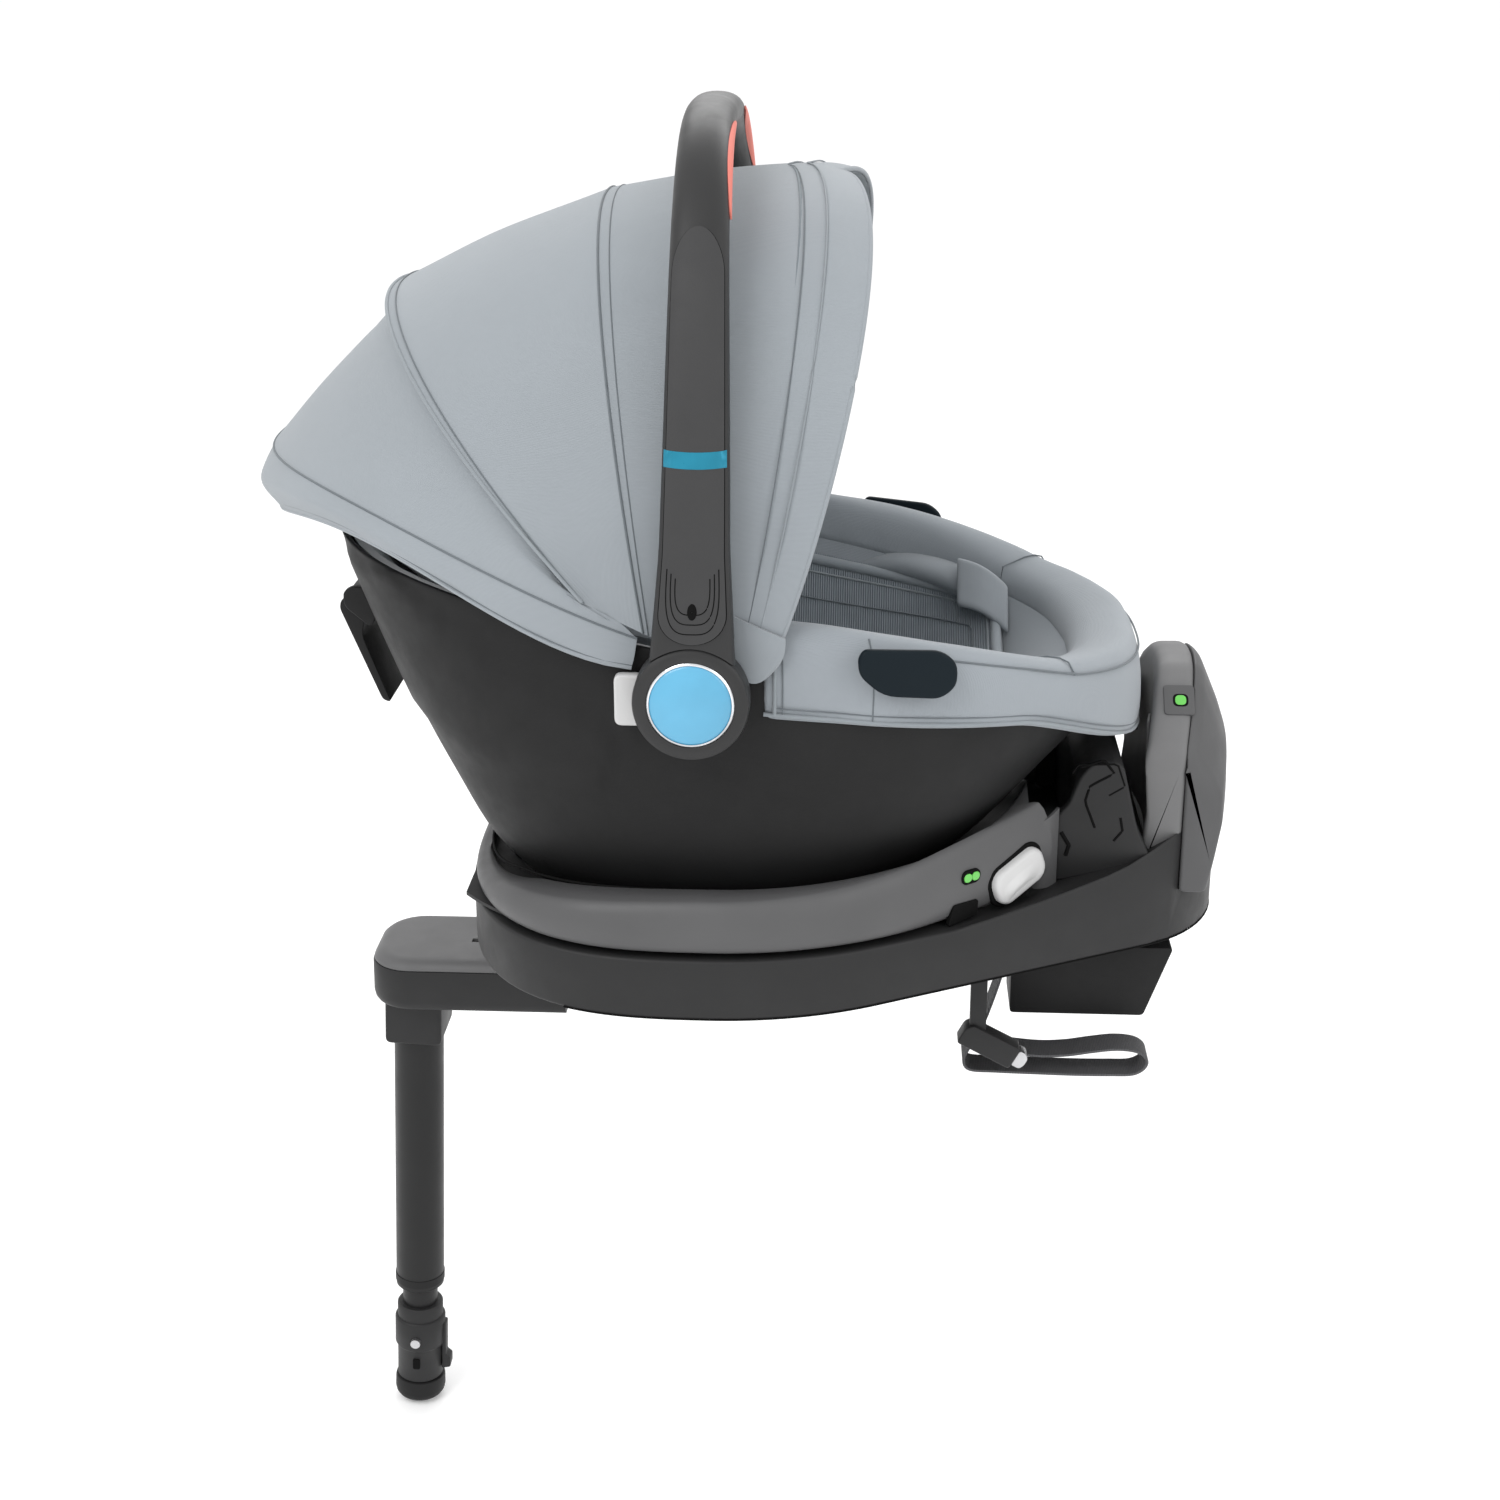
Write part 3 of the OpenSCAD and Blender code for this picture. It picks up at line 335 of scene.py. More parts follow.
def carve(ob, *cutters, angle=38):
    for c in cutters:
        mod = ob.modifiers.new("carve", "BOOLEAN")
        mod.operation = "DIFFERENCE"
        mod.solver = "EXACT"
        mod.object = c
    bpy.context.view_layer.update()
    bake(ob, angle)
    for c in cutters:
        bpy.data.objects.remove(c)
    return ob


def box_piece(name, lo, hi, mat, turn=None, pivot=(0, 0, 0)):
    p = [(x, y, z) for x in (lo[0], hi[0]) for y in (lo[1], hi[1]) for z in (lo[2], hi[2])]
    f = [(0, 1, 3, 2), (4, 6, 7, 5), (0, 4, 5, 1), (2, 3, 7, 6), (0, 2, 6, 4), (1, 5, 7, 3)]
    if turn is not None:
        c, s = cos(radians(turn)), sin(radians(turn))
        p = [(pivot[0] + x * c + z * s, pivot[1] + y, pivot[2] - x * s + z * c) for x, y, z in p]
    return new_piece(name, p, f, mat)


def bevel(ob, width, segments=3, angle=38):
    return modify(ob, "BEVEL", angle, width=width * MM, segments=segments, limit_method="ANGLE",
                  angle_limit=radians(30))


# A round cord or seam along points, of radius r.
def cord_mesh(name, pts, r, mat, sides=8, closed=False):
    pts = np.array(pts, float)
    n = len(pts)
    rows = []
    for i in range(n):
        a = pts[(i - 1) % n] if closed else pts[max(i - 1, 0)]
        b = pts[(i + 1) % n] if closed else pts[min(i + 1, n - 1)]
        t = (b - a) / (np.linalg.norm(b - a) + 1e-9)
        ref = np.array([0, 0, 1.0]) if abs(t[2]) < 0.9 else np.array([1.0, 0, 0])
        u = np.cross(t, ref)
        u /= np.linalg.norm(u)
        v = np.cross(t, u)
        rows.append([pts[i] + r * (cos(q) * u + sin(q) * v)
                     for q in np.linspace(0, 2 * pi, sides, endpoint=False)])
    return skin(name, rows, mat, ring=True, loop=closed, caps=not closed, angle=70)


def place(ob, body, *nodes, slot=None):
    if nodes:
        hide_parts(*nodes)
    if body:
        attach(ob, body)
    return ob


# The CAD node goes on the near piece of a mirrored pair.
def first(side, node):
    return [node] if side < 0 else []


def spow(v, p):
    return np.sign(v) * np.abs(v) ** p


def mix(a, b, t):
    return a + (b - a) * t


def clamp(v, lo, hi):
    return max(lo, min(hi, v))


def oval_r(a, head, foot, w, n):
    e = head if cos(a) < 0 else foot
    return ((abs(cos(a)) / e) ** n + (abs(sin(a)) / w) ** n) ** (-1 / n)


def egg_r(a, head, foot, w, end_r):
    b = abs((a + pi) % (2 * pi) - pi)
    cx = foot - end_r
    al = acos((w - end_r) / cx)
    tb = atan2(end_r * sin(al), cx + end_r * cos(al))
    if b > pi / 2:
        return oval_r(b, head, head, w, 2.85)
    if b >= al:
        return w
    if b >= tb:
        return w / cos(al - b)
    return cx * cos(b) + sqrt(end_r ** 2 - (cx * sin(b)) ** 2)


def around(n):
    return np.linspace(0, 2 * pi, n, endpoint=False)


# ---------- canopy ----------

ARCH_N = 96


def arch(apex, foot, half_w, n=2.3, bow_out=0.0, rise=(0, 0)):
    t = np.linspace(0, pi, ARCH_N + 1)
    s = np.sin(t).clip(0) ** (2 / n)
    b = np.sin(2 * np.minimum(t, pi - t)).clip(0) ** 0.6
    return np.stack([mix(foot[0], apex[0], s) + bow_out * b, -half_w * spow(np.cos(t), 2 / n),
                     mix(foot[1], apex[1], s) + s * (1 - s) * mix(rise[0], rise[1], s)], 1)


HEM = arch((-323, 400), (-52, 330), 206.5, 2.5, 0, (-45, 220))
TAIL = arch((-336, 420), (-50, 338), 206.5, 2.5, 0, (-45, 200))
SEAM_D = arch((-326, 444), (-48, 350), 205, 2.4, 0, (0, 90))
SHOULDER = arch((-292, 484), (-62, 362), 203, 2.35, 0, (0, 30))
REAR_STEP = arch((-252, 522), (-78, 366), 201.5, 2.3)
REAR_LAP = arch((-228, 548), (-86, 369.4), 199, 2.3)
SEAM_A = arch((-237, 552), (-84, 374.6), 205.4, 2.3)
CROWN = arch((-165, 590), (-66, 364), 206, 2.3)
SEAM_B = arch((-84, 617), (-44, 354), 206.5, 2.3)
TOP = arch((-8, 631), (-10, 341), 206.5, 2.3, 6)
SEAM_C = arch((56, 636), (24, 330), 206, 2.3, 22)
RIM = arch((77, 632), (38, 331), 205, 2.3, 32)
CANOPY_MIDDLE = np.array([-60, 0, 330.0])


def curve(p0, p1, p2, p3, t):
    return 0.5 * (2 * p1 + (p2 - p0) * t + (2 * p0 - 5 * p1 + 4 * p2 - p3) * t * t
                  + (3 * p1 - p0 - 3 * p2 + p3) * t ** 3)


# Smooth rows between key arches, with a shallow sag between them where the cloth is slack.
def between(keys, steps, sag=0.0):
    keys = [np.array(k) for k in keys]
    ext = [2 * keys[0] - keys[1]] + keys + [2 * keys[-1] - keys[-2]]
    rows = []
    for i in range(1, len(ext) - 2):
        for k in range(steps):
            t = k / steps
            rows.append(curve(*ext[i - 1:i + 3], t))
    rows.append(keys[-1])
    rows = np.array(rows)
    m = len(rows)
    for j in range(m):
        d = CANOPY_MIDDLE - rows[j]
        d /= np.linalg.norm(d, axis=1, keepdims=True)
        rows[j] += d * sag * sin(pi * j / (m - 1))
    return rows


def ripple(rows, size, scale, seed, grow=None):
    out = rows.copy()
    m, n = rows.shape[:2]
    for j in range(m):
        for i in range(n):
            p = rows[j, i]
            k = grow(j / (m - 1), i / (n - 1)) if grow else 1.0
            w = noise.noise(Vector(p * scale) + Vector((seed, 0, 0)))
            d = p - CANOPY_MIDDLE
            out[j, i] = p + d / np.linalg.norm(d) * size * w * k
    return out


def edge_fade(v, u):
    return sin(pi * v) ** 0.7


def pull(v, u):
    return sin(pi * v) * (0.3 + 1.5 * abs(2 * u - 1) ** 3)


def cloth_piece(name, rows, t, mat, node, body=None, blend=None):
    ob = skin(name, rows, mat, angle=75)
    flip = np.dot(np.array(ob.data.polygons[0].normal), rows[0][0] - CANOPY_MIDDLE)
    thicken(ob, t, -1 if flip > 0 else 1, 75)
    place(ob, body, node, slot="canopy_fabric")
    if blend:
        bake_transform(ob)
    return ob


FOLD_MID = ("carrier", "canopy_mid", (-0.190, 0, 0.480), (-0.085, 0, 0.540))
FOLD_FRONT = ("canopy_mid", "canopy_front", (-0.084, 0, 0.500), (0.045, 0, 0.500))

skirt_rows = ripple(between([HEM, TAIL, SEAM_D], 8), 2.2, 0.018, 3, edge_fade)
cloth_piece("canopy_skirt_cloth", skirt_rows, 2.4, CANOPY, "canopy_skirt", body="carrier")
rear_rows = ripple(between([SEAM_D, SHOULDER, REAR_STEP], 9), 2.0, 0.016, 11, edge_fade)
rear_rows = np.concatenate([rear_rows, [REAR_LAP]])
cloth_piece("canopy_rear_cloth", rear_rows, 2.2, CANOPY, "canopy_rear_panel", body="carrier")
mid_rows = ripple(between([SEAM_A, CROWN, SEAM_B], 10, 3.0), 1.8, 0.014, 23, pull)
cloth_piece("canopy_mid_cloth", mid_rows, 2.4, CANOPY, "canopy_mid_panel", blend=FOLD_MID)
front_rows = ripple(between([SEAM_B, TOP, SEAM_C, RIM], 8, 1.0), 1.8, 0.014, 31, pull)
cloth_piece("canopy_front_cloth", front_rows, 2.4, CANOPY, "canopy_front_panel", blend=FOLD_FRONT)


def out_by(row, d):
    v = row - CANOPY_MIDDLE
    return row + v / np.linalg.norm(v, axis=1, keepdims=True) * d


# A seam or stitched line along a row of the canopy.
def seam(name, row, body=None, blend=None, r=0.8, mat=THREAD, lift=0.1):
    ob = cord_mesh(name, out_by(row, lift), r, mat)
    if blend:
        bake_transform(ob)
    else:
        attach(ob, body)
    return ob


seam("seam_tail", SEAM_D, body="carrier")
seam("seam_rear", SEAM_A, blend=FOLD_MID, r=1.3, mat=PIPING, lift=0.3)
seam("seam_rear_line", mix(SEAM_A, CROWN, 0.09), blend=FOLD_MID, r=0.5)
seam("seam_crown", SEAM_B, blend=FOLD_MID, r=0.9)
seam("seam_crown_line", mix(SEAM_B, TOP, 0.10), blend=FOLD_FRONT, r=0.45)
seam("seam_front", SEAM_C, blend=FOLD_FRONT, r=0.6, mat=PIPING)
seam("seam_front_line", mix(TOP, SEAM_C, 0.80), blend=FOLD_FRONT, r=0.45)
seam("hem_line", mix(HEM, TAIL, 0.25), body="carrier", r=0.45)
seam("hem_fold", HEM, body="carrier", r=1.6, mat=CANOPY, lift=-1.2)

# Gathered lining inside the front rim.
rim_in = []
for k in range(7):
    v = k / 6
    row = mix(RIM, SEAM_C, v * 1.6)
    u = np.linspace(0, 1, ARCH_N + 1)
    gather = np.sin(u * pi * 62) * 1.6 * sin(pi * min(1, v + 0.1))
    d = row - CANOPY_MIDDLE
    rim_in.append(row - d / np.linalg.norm(d, axis=1, keepdims=True) * (3.2 + 5.5 * sin(pi * v) - gather)[:,
        None])
rim_in = np.array(rim_in)
lining = skin("canopy_lining", rim_in, LINING, angle=75)
thicken(lining, 1.0, 0, 75)
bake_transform(lining)
seam("rim_fold", RIM, blend=FOLD_FRONT, r=1.7, mat=CANOPY, lift=-1.3)

# Tab at each foot of the front panel, over the start of the seat pad.
for side, word in BOTH:
    rows = []
    for k in range(9):
        v = k / 8
        rows.append([(mix(14 - 6 * v, 50 - 8 * v ** 3, u), side * (206.6 - 1.2 * v + 1.6 * sin(pi * u)),
                      mix(368, 352, u) - v * (38 - 16 * (2 * u - 1) ** 2)) for u in np.linspace(0, 1, 13)])
    tab = skin("canopy_tab_" + word, rows, CANOPY, angle=75)
    thicken(tab, 2.0, 0, 75)
    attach(tab, "canopy_front")

# ---------- carrier shell ----------

# Height, slope along X, head end, foot end, half width and squareness of each level.
LEVELS = [[112.4, 0, 138, 112, 140, 2.2], [121, 0, 150, 130, 154, 2.2], [137, 0, 162, 150, 166, 2.2],
          [165, 0, 185, 190, 188, 2.4], [200, 0, 200, 221, 195, 2.5], [244, -0.03, 228, 254, 197, 2.5],
          [284, -0.12, 254, 271, 198, 2.5], [333, -0.2, 282, 281, 199, 2.5]]
SIDES = 96


def level_ring(l, inset, up=0.0):
    out = []
    for a in around(SIDES):
        r = oval_r(a, l[2] - inset, l[3] - inset, l[4] - inset, l[5])
        out.append((r * cos(a), r * sin(a), l[0] + l[1] * r * cos(a) + up))
    return out


def edge_distance(px, pz, loop):
    d = np.full(px.shape, 1e9)
    inside = np.zeros(px.shape, bool)
    for (x0, z0), (x1, z1) in zip(loop, loop[1:] + loop[:1]):
        ex, ez = x1 - x0, z1 - z0
        t = (((px - x0) * ex + (pz - z0) * ez) / (ex * ex + ez * ez)).clip(0, 1)
        d = np.minimum(d, np.hypot(px - x0 - t * ex, pz - z0 - t * ez))
        cross = (z0 > pz) != (z1 > pz)
        inside ^= cross & (px < (x1 - x0) * (pz - z0) / (z1 - z0 + 1e-9) + x0)
    return np.where(inside, d, -d)


def smoothstep(t):
    t = np.clip(t, 0, 1)
    return t * t * (3 - 2 * t)


shell = skin("carrier_shell_body", [level_ring(l, 0) for l in LEVELS[:-1]] + [level_ring(LEVELS[7], 0, -2),
    level_ring(LEVELS[7], 0.6),
             level_ring(LEVELS[7], 4.4), level_ring(LEVELS[7], 5, -2)]
             + [level_ring(l, 5) for l in LEVELS[-2:0:-1]] + [level_ring(LEVELS[0], 8, 5)], SHELL, ring=True,
             caps=True)
subdivide(shell, 2)
co = np.array([v.co for v in shell.data.vertices]) / MM
PANEL = [(-320, 372), (-221, 377), (-175, 342), (-102, 306), (-72, 282), (-62, 262), (-74, 244), (-104, 238),
    (-193, 250), (-320, 268)]
lift = smoothstep(edge_distance(co[:, 0], co[:, 2], PANEL) / 4 + 0.2) * 3.2 * (np.abs(co[:, 1]) > 60)
flat_r = np.hypot(co[:, 0], co[:, 1])
for k in (0, 1):
    co[:, k] += lift * co[:, k] / flat_r
shell.data.vertices.foreach_set("co", (co * MM).ravel())
smooth_mesh(shell.data, 60)
place(shell, "carrier", "carrier_shell", slot="shell_black")
RX, RZ = -268, 332


# An outline drawn in X and Z, made solid from y0 to y1, with rounded edges.
def slab(name, outline, y0, y1, mat, edge=1.5, move=None, segments=3):
    n = len(outline)
    verts = [(x, y0, z) for x, z in outline] + [(x, y1, z) for x, z in outline]
    faces = [tuple(range(n)), tuple(range(n, 2 * n))] + [(i, (i + 1) % n, n + (i + 1) % n,
        n + i) for i in range(n)]
    if move:
        verts = [move(v) for v in verts]
    ob = new_piece(name, verts, faces, mat)
    return bevel(ob, edge, segments) if edge else ob


# Corners of an outline, rounded to a radius.
def soft(points, r, steps=5):
    out = []
    n = len(points)
    for i in range(n):
        p = np.array(points[i], float)
        a, b = np.array(points[i - 1], float) - p, np.array(points[(i + 1) % n], float) - p
        la, lb = np.linalg.norm(a), np.linalg.norm(b)
        k = min(r, la * 0.45, lb * 0.45)
        s, e = p + a / la * k, p + b / lb * k
        for t in np.linspace(0, 1, steps):
            out.append(tuple((1 - t) ** 2 * s + 2 * t * (1 - t) * p + t * t * e))
    return out


for side, word in BOTH:
    y = sorted((side * 53, side * 60))
    lug = slab("release_lug_" + word, soft([(RX - 9, RZ - 6), (RX + 10, RZ - 22), (RX + 15, RZ - 14),
        (RX + 14, RZ + 8),
               (RX - 2, RZ + 9), (RX - 9, RZ + 5)], 6), y[0], y[1], SHELL, 1.2)
    place(lug, "carrier", slot="shell_black")
handle_bar = slab("release_bar", soft([(-254, 252), (-247.5, 250), (-267, 303), (-259, 328), (-266, 338),
    (-281, 328),
                  (-282, 322)], 7), -52, 52, SHELL, 2.4)
place(handle_bar, "rear_release", "rear_release", slot="shell_black")

# ---------- seat pad ----------


def lip_z(x):
    return 333 - 0.2 * x


def pad_profile(a, end=1.0):
    rim = oval_r(a, 282, 281, 199, 2.5)
    x = rim * cos(a)
    lip = lip_z(x)
    full = oval_r(a, 306, 306, 204.5, 2.5) - rim
    out = mix(2.6, full, clamp((x - 80) / 30, 0, 1)) if x < 110 else full
    low = 293 - 0.085 * (x - 36) if x < 200 else mix(279, 237, ((x - 200) / 81) ** 1.4)
    top = lip + 24 + 10 * max(0, cos(a)) ** 2 + 13 * max(0, 1 - ((x - 110) / 128) ** 2)
    h = top - low
    pts = [(out - 3, low), (out - 0.4, low + 5), (out + 0.4, low + 0.35 * h), (out, low + 0.6 * h),
        (out - 2.5, low + 0.8 * h),
           (out - 8, top - 2), (out - 15, top), (out - 24, top - 0.5), (-27, top - 6), (-30, lip + 6),
           (-29, lip + 0.8),
           (-4, lip + 0.8), (0.8, lip - 4), (0.8, low + 1)]
    mid_o, mid_z = sum(p[0] for p in pts) / len(pts), sum(p[1] for p in pts) / len(pts)
    return rim, [(mid_o + (p[0] - mid_o) * end, mid_z + (p[1] - mid_z) * end) for p in pts]


def pad_xyz(a, o, z, rim):
    return ((rim + o) * cos(a), (rim + o) * sin(a), z)


PAD_FROM = radians(80)
rows = []
for i, a in enumerate(np.concatenate([[-PAD_FROM, -PAD_FROM + 0.012],
    np.linspace(-PAD_FROM + 0.03, PAD_FROM - 0.03, 90),
                                      [PAD_FROM - 0.012, PAD_FROM]])):
    rim, pts = pad_profile(a, {0: 0.9, 1: 0.975, 92: 0.975, 93: 0.9}.get(i, 1.0))
    rows.append([pad_xyz(a, o, z, rim) for o, z in pts])
pad = skin("seat_pad_body", rows, PAD, ring=True, caps=True, angle=80)
subdivide(pad, 1, 80)
co = [v.co.copy() for v in pad.data.vertices]
for v, p in zip(pad.data.vertices, co):
    q = p / MM
    k = noise.noise(q * 0.018) * 1.1 + noise.noise(q * 0.05) * 0.35
    r = hypot(q.x, q.y)
    v.co = Vector((q.x + q.x / r * k, q.y + q.y / r * k, q.z + 0.5 * k)) * MM
place(pad, "carrier", "seat_pad", slot="canopy_fabric")


def pad_line(name, a0, a1, frac, r, mat=THREAD, lift=0.35, drop=None):
    pts = []
    for a in np.linspace(a0, a1, 80):
        rim, prof = pad_profile(a)
        low, top = prof[0][1], prof[6][1]
        z = (low + drop) if drop is not None else low + frac * (top - low)
        zs = [p[1] for p in prof[:7]]
        os = [p[0] for p in prof[:7]]
        pts.append(pad_xyz(a, np.interp(z, zs, os) + lift, z, rim))
    ob = cord_mesh(name, pts, r, mat)
    place(ob, "carrier", slot="canopy_fabric")
    return ob


pad_line("pad_piping", -PAD_FROM, PAD_FROM, 0, 1.5, PIPING, 0.2, drop=4)
pad_line("pad_stitch_low", -PAD_FROM + 0.03, PAD_FROM - 0.03, 0, 0.45, drop=9)
pad_line("pad_seam_top", -1.02, 1.02, 0.83, 0.8)
for side, word in BOTH:
    for k, (b, r) in enumerate(((PAD_FROM - 0.035, 1.4), (PAD_FROM - 0.06, 0.45), (1.07, 0.5))):
        a = side * b
        rim, prof = pad_profile(a)
        zs, os = [p[1] for p in prof[:7]], [p[0] for p in prof[:7]]
        ob = cord_mesh("pad_rise_%s_%d" % (word, k),
                       [pad_xyz(a, np.interp(z, zs, os) + 0.3, z, rim) for z in np.linspace(zs[0] + 4,
                           zs[-1] - 3, 24)],
                       r, PIPING if k == 0 else THREAD)
        place(ob, "carrier", slot="canopy_fabric")
    # A seam across the pad's top where its foot-end piece starts.
    a = side * 0.52
    rim, prof = pad_profile(a)
    ob = cord_mesh("pad_cross_" + word, [pad_xyz(a, o, z + 0.5, rim) for o, z in prof[4:10]], 0.6, THREAD)
    place(ob, "carrier", slot="canopy_fabric")

# ---------- inside of the seat ----------


def seat_z(x):
    return 168 + (0.0021 if x < 60 else 0.0019) * (x - 60) ** 2


def bowl(a, t, d, power, rim_lift, foot=281, wide=199):
    r = t * oval_r(a, 282 - d, foot - d, wide - d, 2.5)
    x = r * cos(a)
    z = mix(seat_z(x) + d - 16, lip_z(x / max(t, 0.05)) + rim_lift, t ** power)
    return x, r * sin(a), z


# Closes the last row of a surface with one face.
def close_last(ob, rows):
    n = len(rows[0])
    last = (len(rows) - 1) * n
    bm = bmesh.new()
    bm.from_mesh(ob.data)
    bm.verts.ensure_lookup_table()
    bm.faces.new([bm.verts[last + i] for i in range(n)]).smooth = True
    bm.to_mesh(ob.data)
    bm.free()


cushion_rows = []
for t in (1.0, 0.985, 0.95, 0.9, 0.83, 0.74, 0.62, 0.48, 0.3, 0.1):
    cushion_rows.append([bowl(a, t, 28, 5.0, 2) for a in around(120)])
cushion = skin("seat_cushion_body", cushion_rows, PAD, ring=True, angle=80)
close_last(cushion, cushion_rows)
subdivide(cushion, 1, 80)
thicken(cushion, 7, -1 if np.array(cushion.data.polygons[50].normal)[2] > 0 else 1, 80)
place(cushion, "carrier", "seat_cushion", slot="cushion_fabric")


def insert_limit(a):
    c, s = cos(a), abs(sin(a))
    r = oval_r(a, 254, 253, 171, 2.5)
    lim = 0.965
    if c > 0:
        lim = min(lim, 208 / (r * c + 1e-6))
    return lim


def insert_point(a, t, lift=0.0):
    lim = insert_limit(a)
    x, y, z = bowl(a, t * lim, 29, 3.4, 4)
    return np.array([x, y, z + 3.5 + lift])


rows = []
for t in np.linspace(1, 0.04, 74):
    row = []
    for a in around(260):
        p = insert_point(a, t)
        u, v = p[0] / 19.0, (abs(p[1]) + 0.9 * (p[2] - 200)) / 19.0
        pillow = sqrt(abs(sin(pi * (u + 0.25 * v)) * sin(pi * v)))
        edge = smoothstep((1 - t) / 0.05)
        row.append(p + np.array([0, 0, 1.9 * pillow * edge + 2.5 * edge]))
    rows.append(row)
quilt = skin("insert_quilt", rows, QUILT, ring=True, angle=120)
close_last(quilt, rows)
thicken(quilt, 5, -1 if np.array(quilt.data.polygons[50].normal)[2] > 0 else 1, 120)
place(quilt, "carrier", "infant_insert", slot="insert_fabric")
edge_roll = cord_mesh("insert_edge", [insert_point(a, 0.985, 1.5) for a in around(220)], 4.2, INNER, 10,
    closed=True)
place(edge_roll, "carrier", slot="insert_fabric")
place(cord_mesh("insert_piping", [insert_point(a, 0.955, 4.5) for a in around(220)], 0.9, PIPING,
    closed=True), "carrier",
      slot="insert_fabric")
place(cord_mesh("insert_piping_inner", [insert_point(a, 0.90, 5.2) for a in around(220)], 0.6, THREAD,
    closed=True), "carrier",
      slot="insert_fabric")

# Soft roll and pointed wing at each front corner of the insert.
for side, word in BOTH:
    path = [np.array(p, float) * [1, side, 1] for p in
            ((82, 168, 296), (112, 166, 303), (142, 156, 304), (172, 138, 300), (198, 112, 292),
                (208, 84, 278))]
    rows = []
    for k, (p, r) in enumerate(zip(path, (3, 11, 14, 14, 12, 4))):
        a, b = path[max(k - 1, 0)], path[min(k + 1, 5)]
        t = (b - a) / np.linalg.norm(b - a)
        u = np.cross(t, [0, 0, 1.0])
        u /= np.linalg.norm(u)
        rows.append([p + r * (1.25 * cos(q) * u + 0.8 * sin(q) * np.cross(u, t)) for q in around(12)])
    roll = skin("insert_roll_" + word, rows, PAD, ring=True, caps=True, angle=80)
    subdivide(roll, 2, 80)
    place(roll, "carrier", slot="canopy_fabric")
    wing_rows = []
    for k in range(9):
        v = k / 8
        wing_rows.append([(mix(174, 214, u), side * mix(128 - 20 * u, 100 - 22 * u, v),
                           mix(mix(318, 300, u), mix(286, 270, u),
                               v) + 5 * sin(pi * u)) for u in np.linspace(0, 1, 10)])
    wing = skin("insert_wing_" + word, wing_rows, PAD, angle=80)
    thicken(wing, 6, 0, 80)
    subdivide(wing, 1, 80)
    place(wing, "carrier", slot="canopy_fabric")

# ---------- belt guides ----------


def on_guide(side):
    c, s = cos(radians(11.3)), sin(radians(11.3))

    def move(v):
        x, y, z = 129 + v[0] * c - v[1] * s, -194.9 + v[0] * s + v[1] * c, 329 + v[2]
        return x, (y if side < 0 else -y), z
    return move


for side, word in BOTH:
    blade = slab("belt_guide_" + word, soft([(-34, 12), (-30, 18), (22, 15), (33, 6), (33, -10), (22, -18.5),
        (-17, -15), (-33, 0)], 11),
                 -13.2, -7.6, GUIDE, 2.2, on_guide(side), 4)
    place(blade, "carrier", *first(side, "belt_guides"), slot="guide_blue")
    foot = slab("belt_guide_foot_" + word, soft([(-29, -3), (-18, -13), (22, -16.5), (29, -10), (-24, 3)],
        4), -8, -0.6, GUIDE, 1, on_guide(side))
    place(foot, "carrier", slot="guide_blue")

# ---------- turntable ring and tower ----------


def deck_z(r):
    return 132 if r < 245 else 132 + (r - 245) * 0.3 if r < 312 else 152 + (min(r, 352) - 312) * 0.6


def ring_top(x):
    return 173 + 0.00055 * x * abs(x) - max(0, -x - 140) * 0.25


# Head end, foot end, half width and squareness of the ring's hole, and the ring's outside.
RING_HOLE = (178, 231, 206, 2.4)
RING_HALF, RING_FOOT, RING_END_R = 239, 300, 126
RING_TURN = acos((RING_HALF - RING_END_R) / (RING_FOOT - RING_END_R))


def on_ring_flat(side, along, up, tilt=0.0):
    ct, st = cos(radians(tilt)), sin(radians(tilt))

    def move(v):
        a, b = along + v[1] * ct - v[2] * st, up + v[1] * st + v[2] * ct
        out = RING_HALF + v[0]
        x = out * cos(RING_TURN) + a * sin(RING_TURN)
        y = -out * sin(RING_TURN) + a * cos(RING_TURN)
        return x, (y if side < 0 else -y), b
    return move


# An outline drawn along and up the ring's flat stretch, standing out from x0 to x1.
def ring_slab(name, outline, x0, x1, mat, side, along, up, tilt=0.0, edge=1.0):
    move = on_ring_flat(side, along, up, tilt)
    return slab(name, outline, x0, x1, mat, edge, lambda v: move((v[1], v[0], v[2])))


rows = []
for a in around(144):
    r = egg_r(a, 186, RING_FOOT, RING_HALF, RING_END_R)
    b, top = deck_z(r) + 4, ring_top(r * cos(a))
    h = top - b
    q = oval_r(a, *RING_HOLE)
    prof = [(q, deck_z(q) + 4), (mix(q, r, 0.5), deck_z(mix(q, r, 0.5)) + 4), (r - 7, b),
        (r - 4.5, b + 0.02 * h),
            (r - 2.2, b + 0.08 * h), (r - 0.7, b + 0.22 * h), (r, b + 0.42 * h), (r - 0.7, b + 0.6 * h),
            (r - 2.6, b + 0.78 * h),
            (r - 5, b + 0.91 * h), (r - 7.6, top - 0.8), (r - 9.6, top), (q + 1.6, top - 1), (q, top - 2.4)]
    rows.append([(d * cos(a), d * sin(a), z) for d, z in prof])
ring = skin("turntable_ring_body", rows, RING, ring=True, loop=True, angle=60)
carve(ring, box_piece("cut", (221, -110.2, 110), (340, 110.2, 260), RING), angle=60)
place(ring, "turntable", "turntable_ring", slot="ring_grey")
# Near-black cord that runs round the ring's inner edge, against the carrier's shell: painted shade in the gap
# between them.
lip = cord_mesh("ring_inner_lip", [(oval_r(a, *RING_HOLE) * cos(a), oval_r(a, *RING_HOLE) * sin(a),
                ring_top(oval_r(a, *RING_HOLE) * cos(a)) - 2.4) for a in np.linspace(0.52, 2 * pi - 0.52,
                    150)], 1.1, SHADE_BLACK)
place(lip, "turntable", slot="ring_grey")


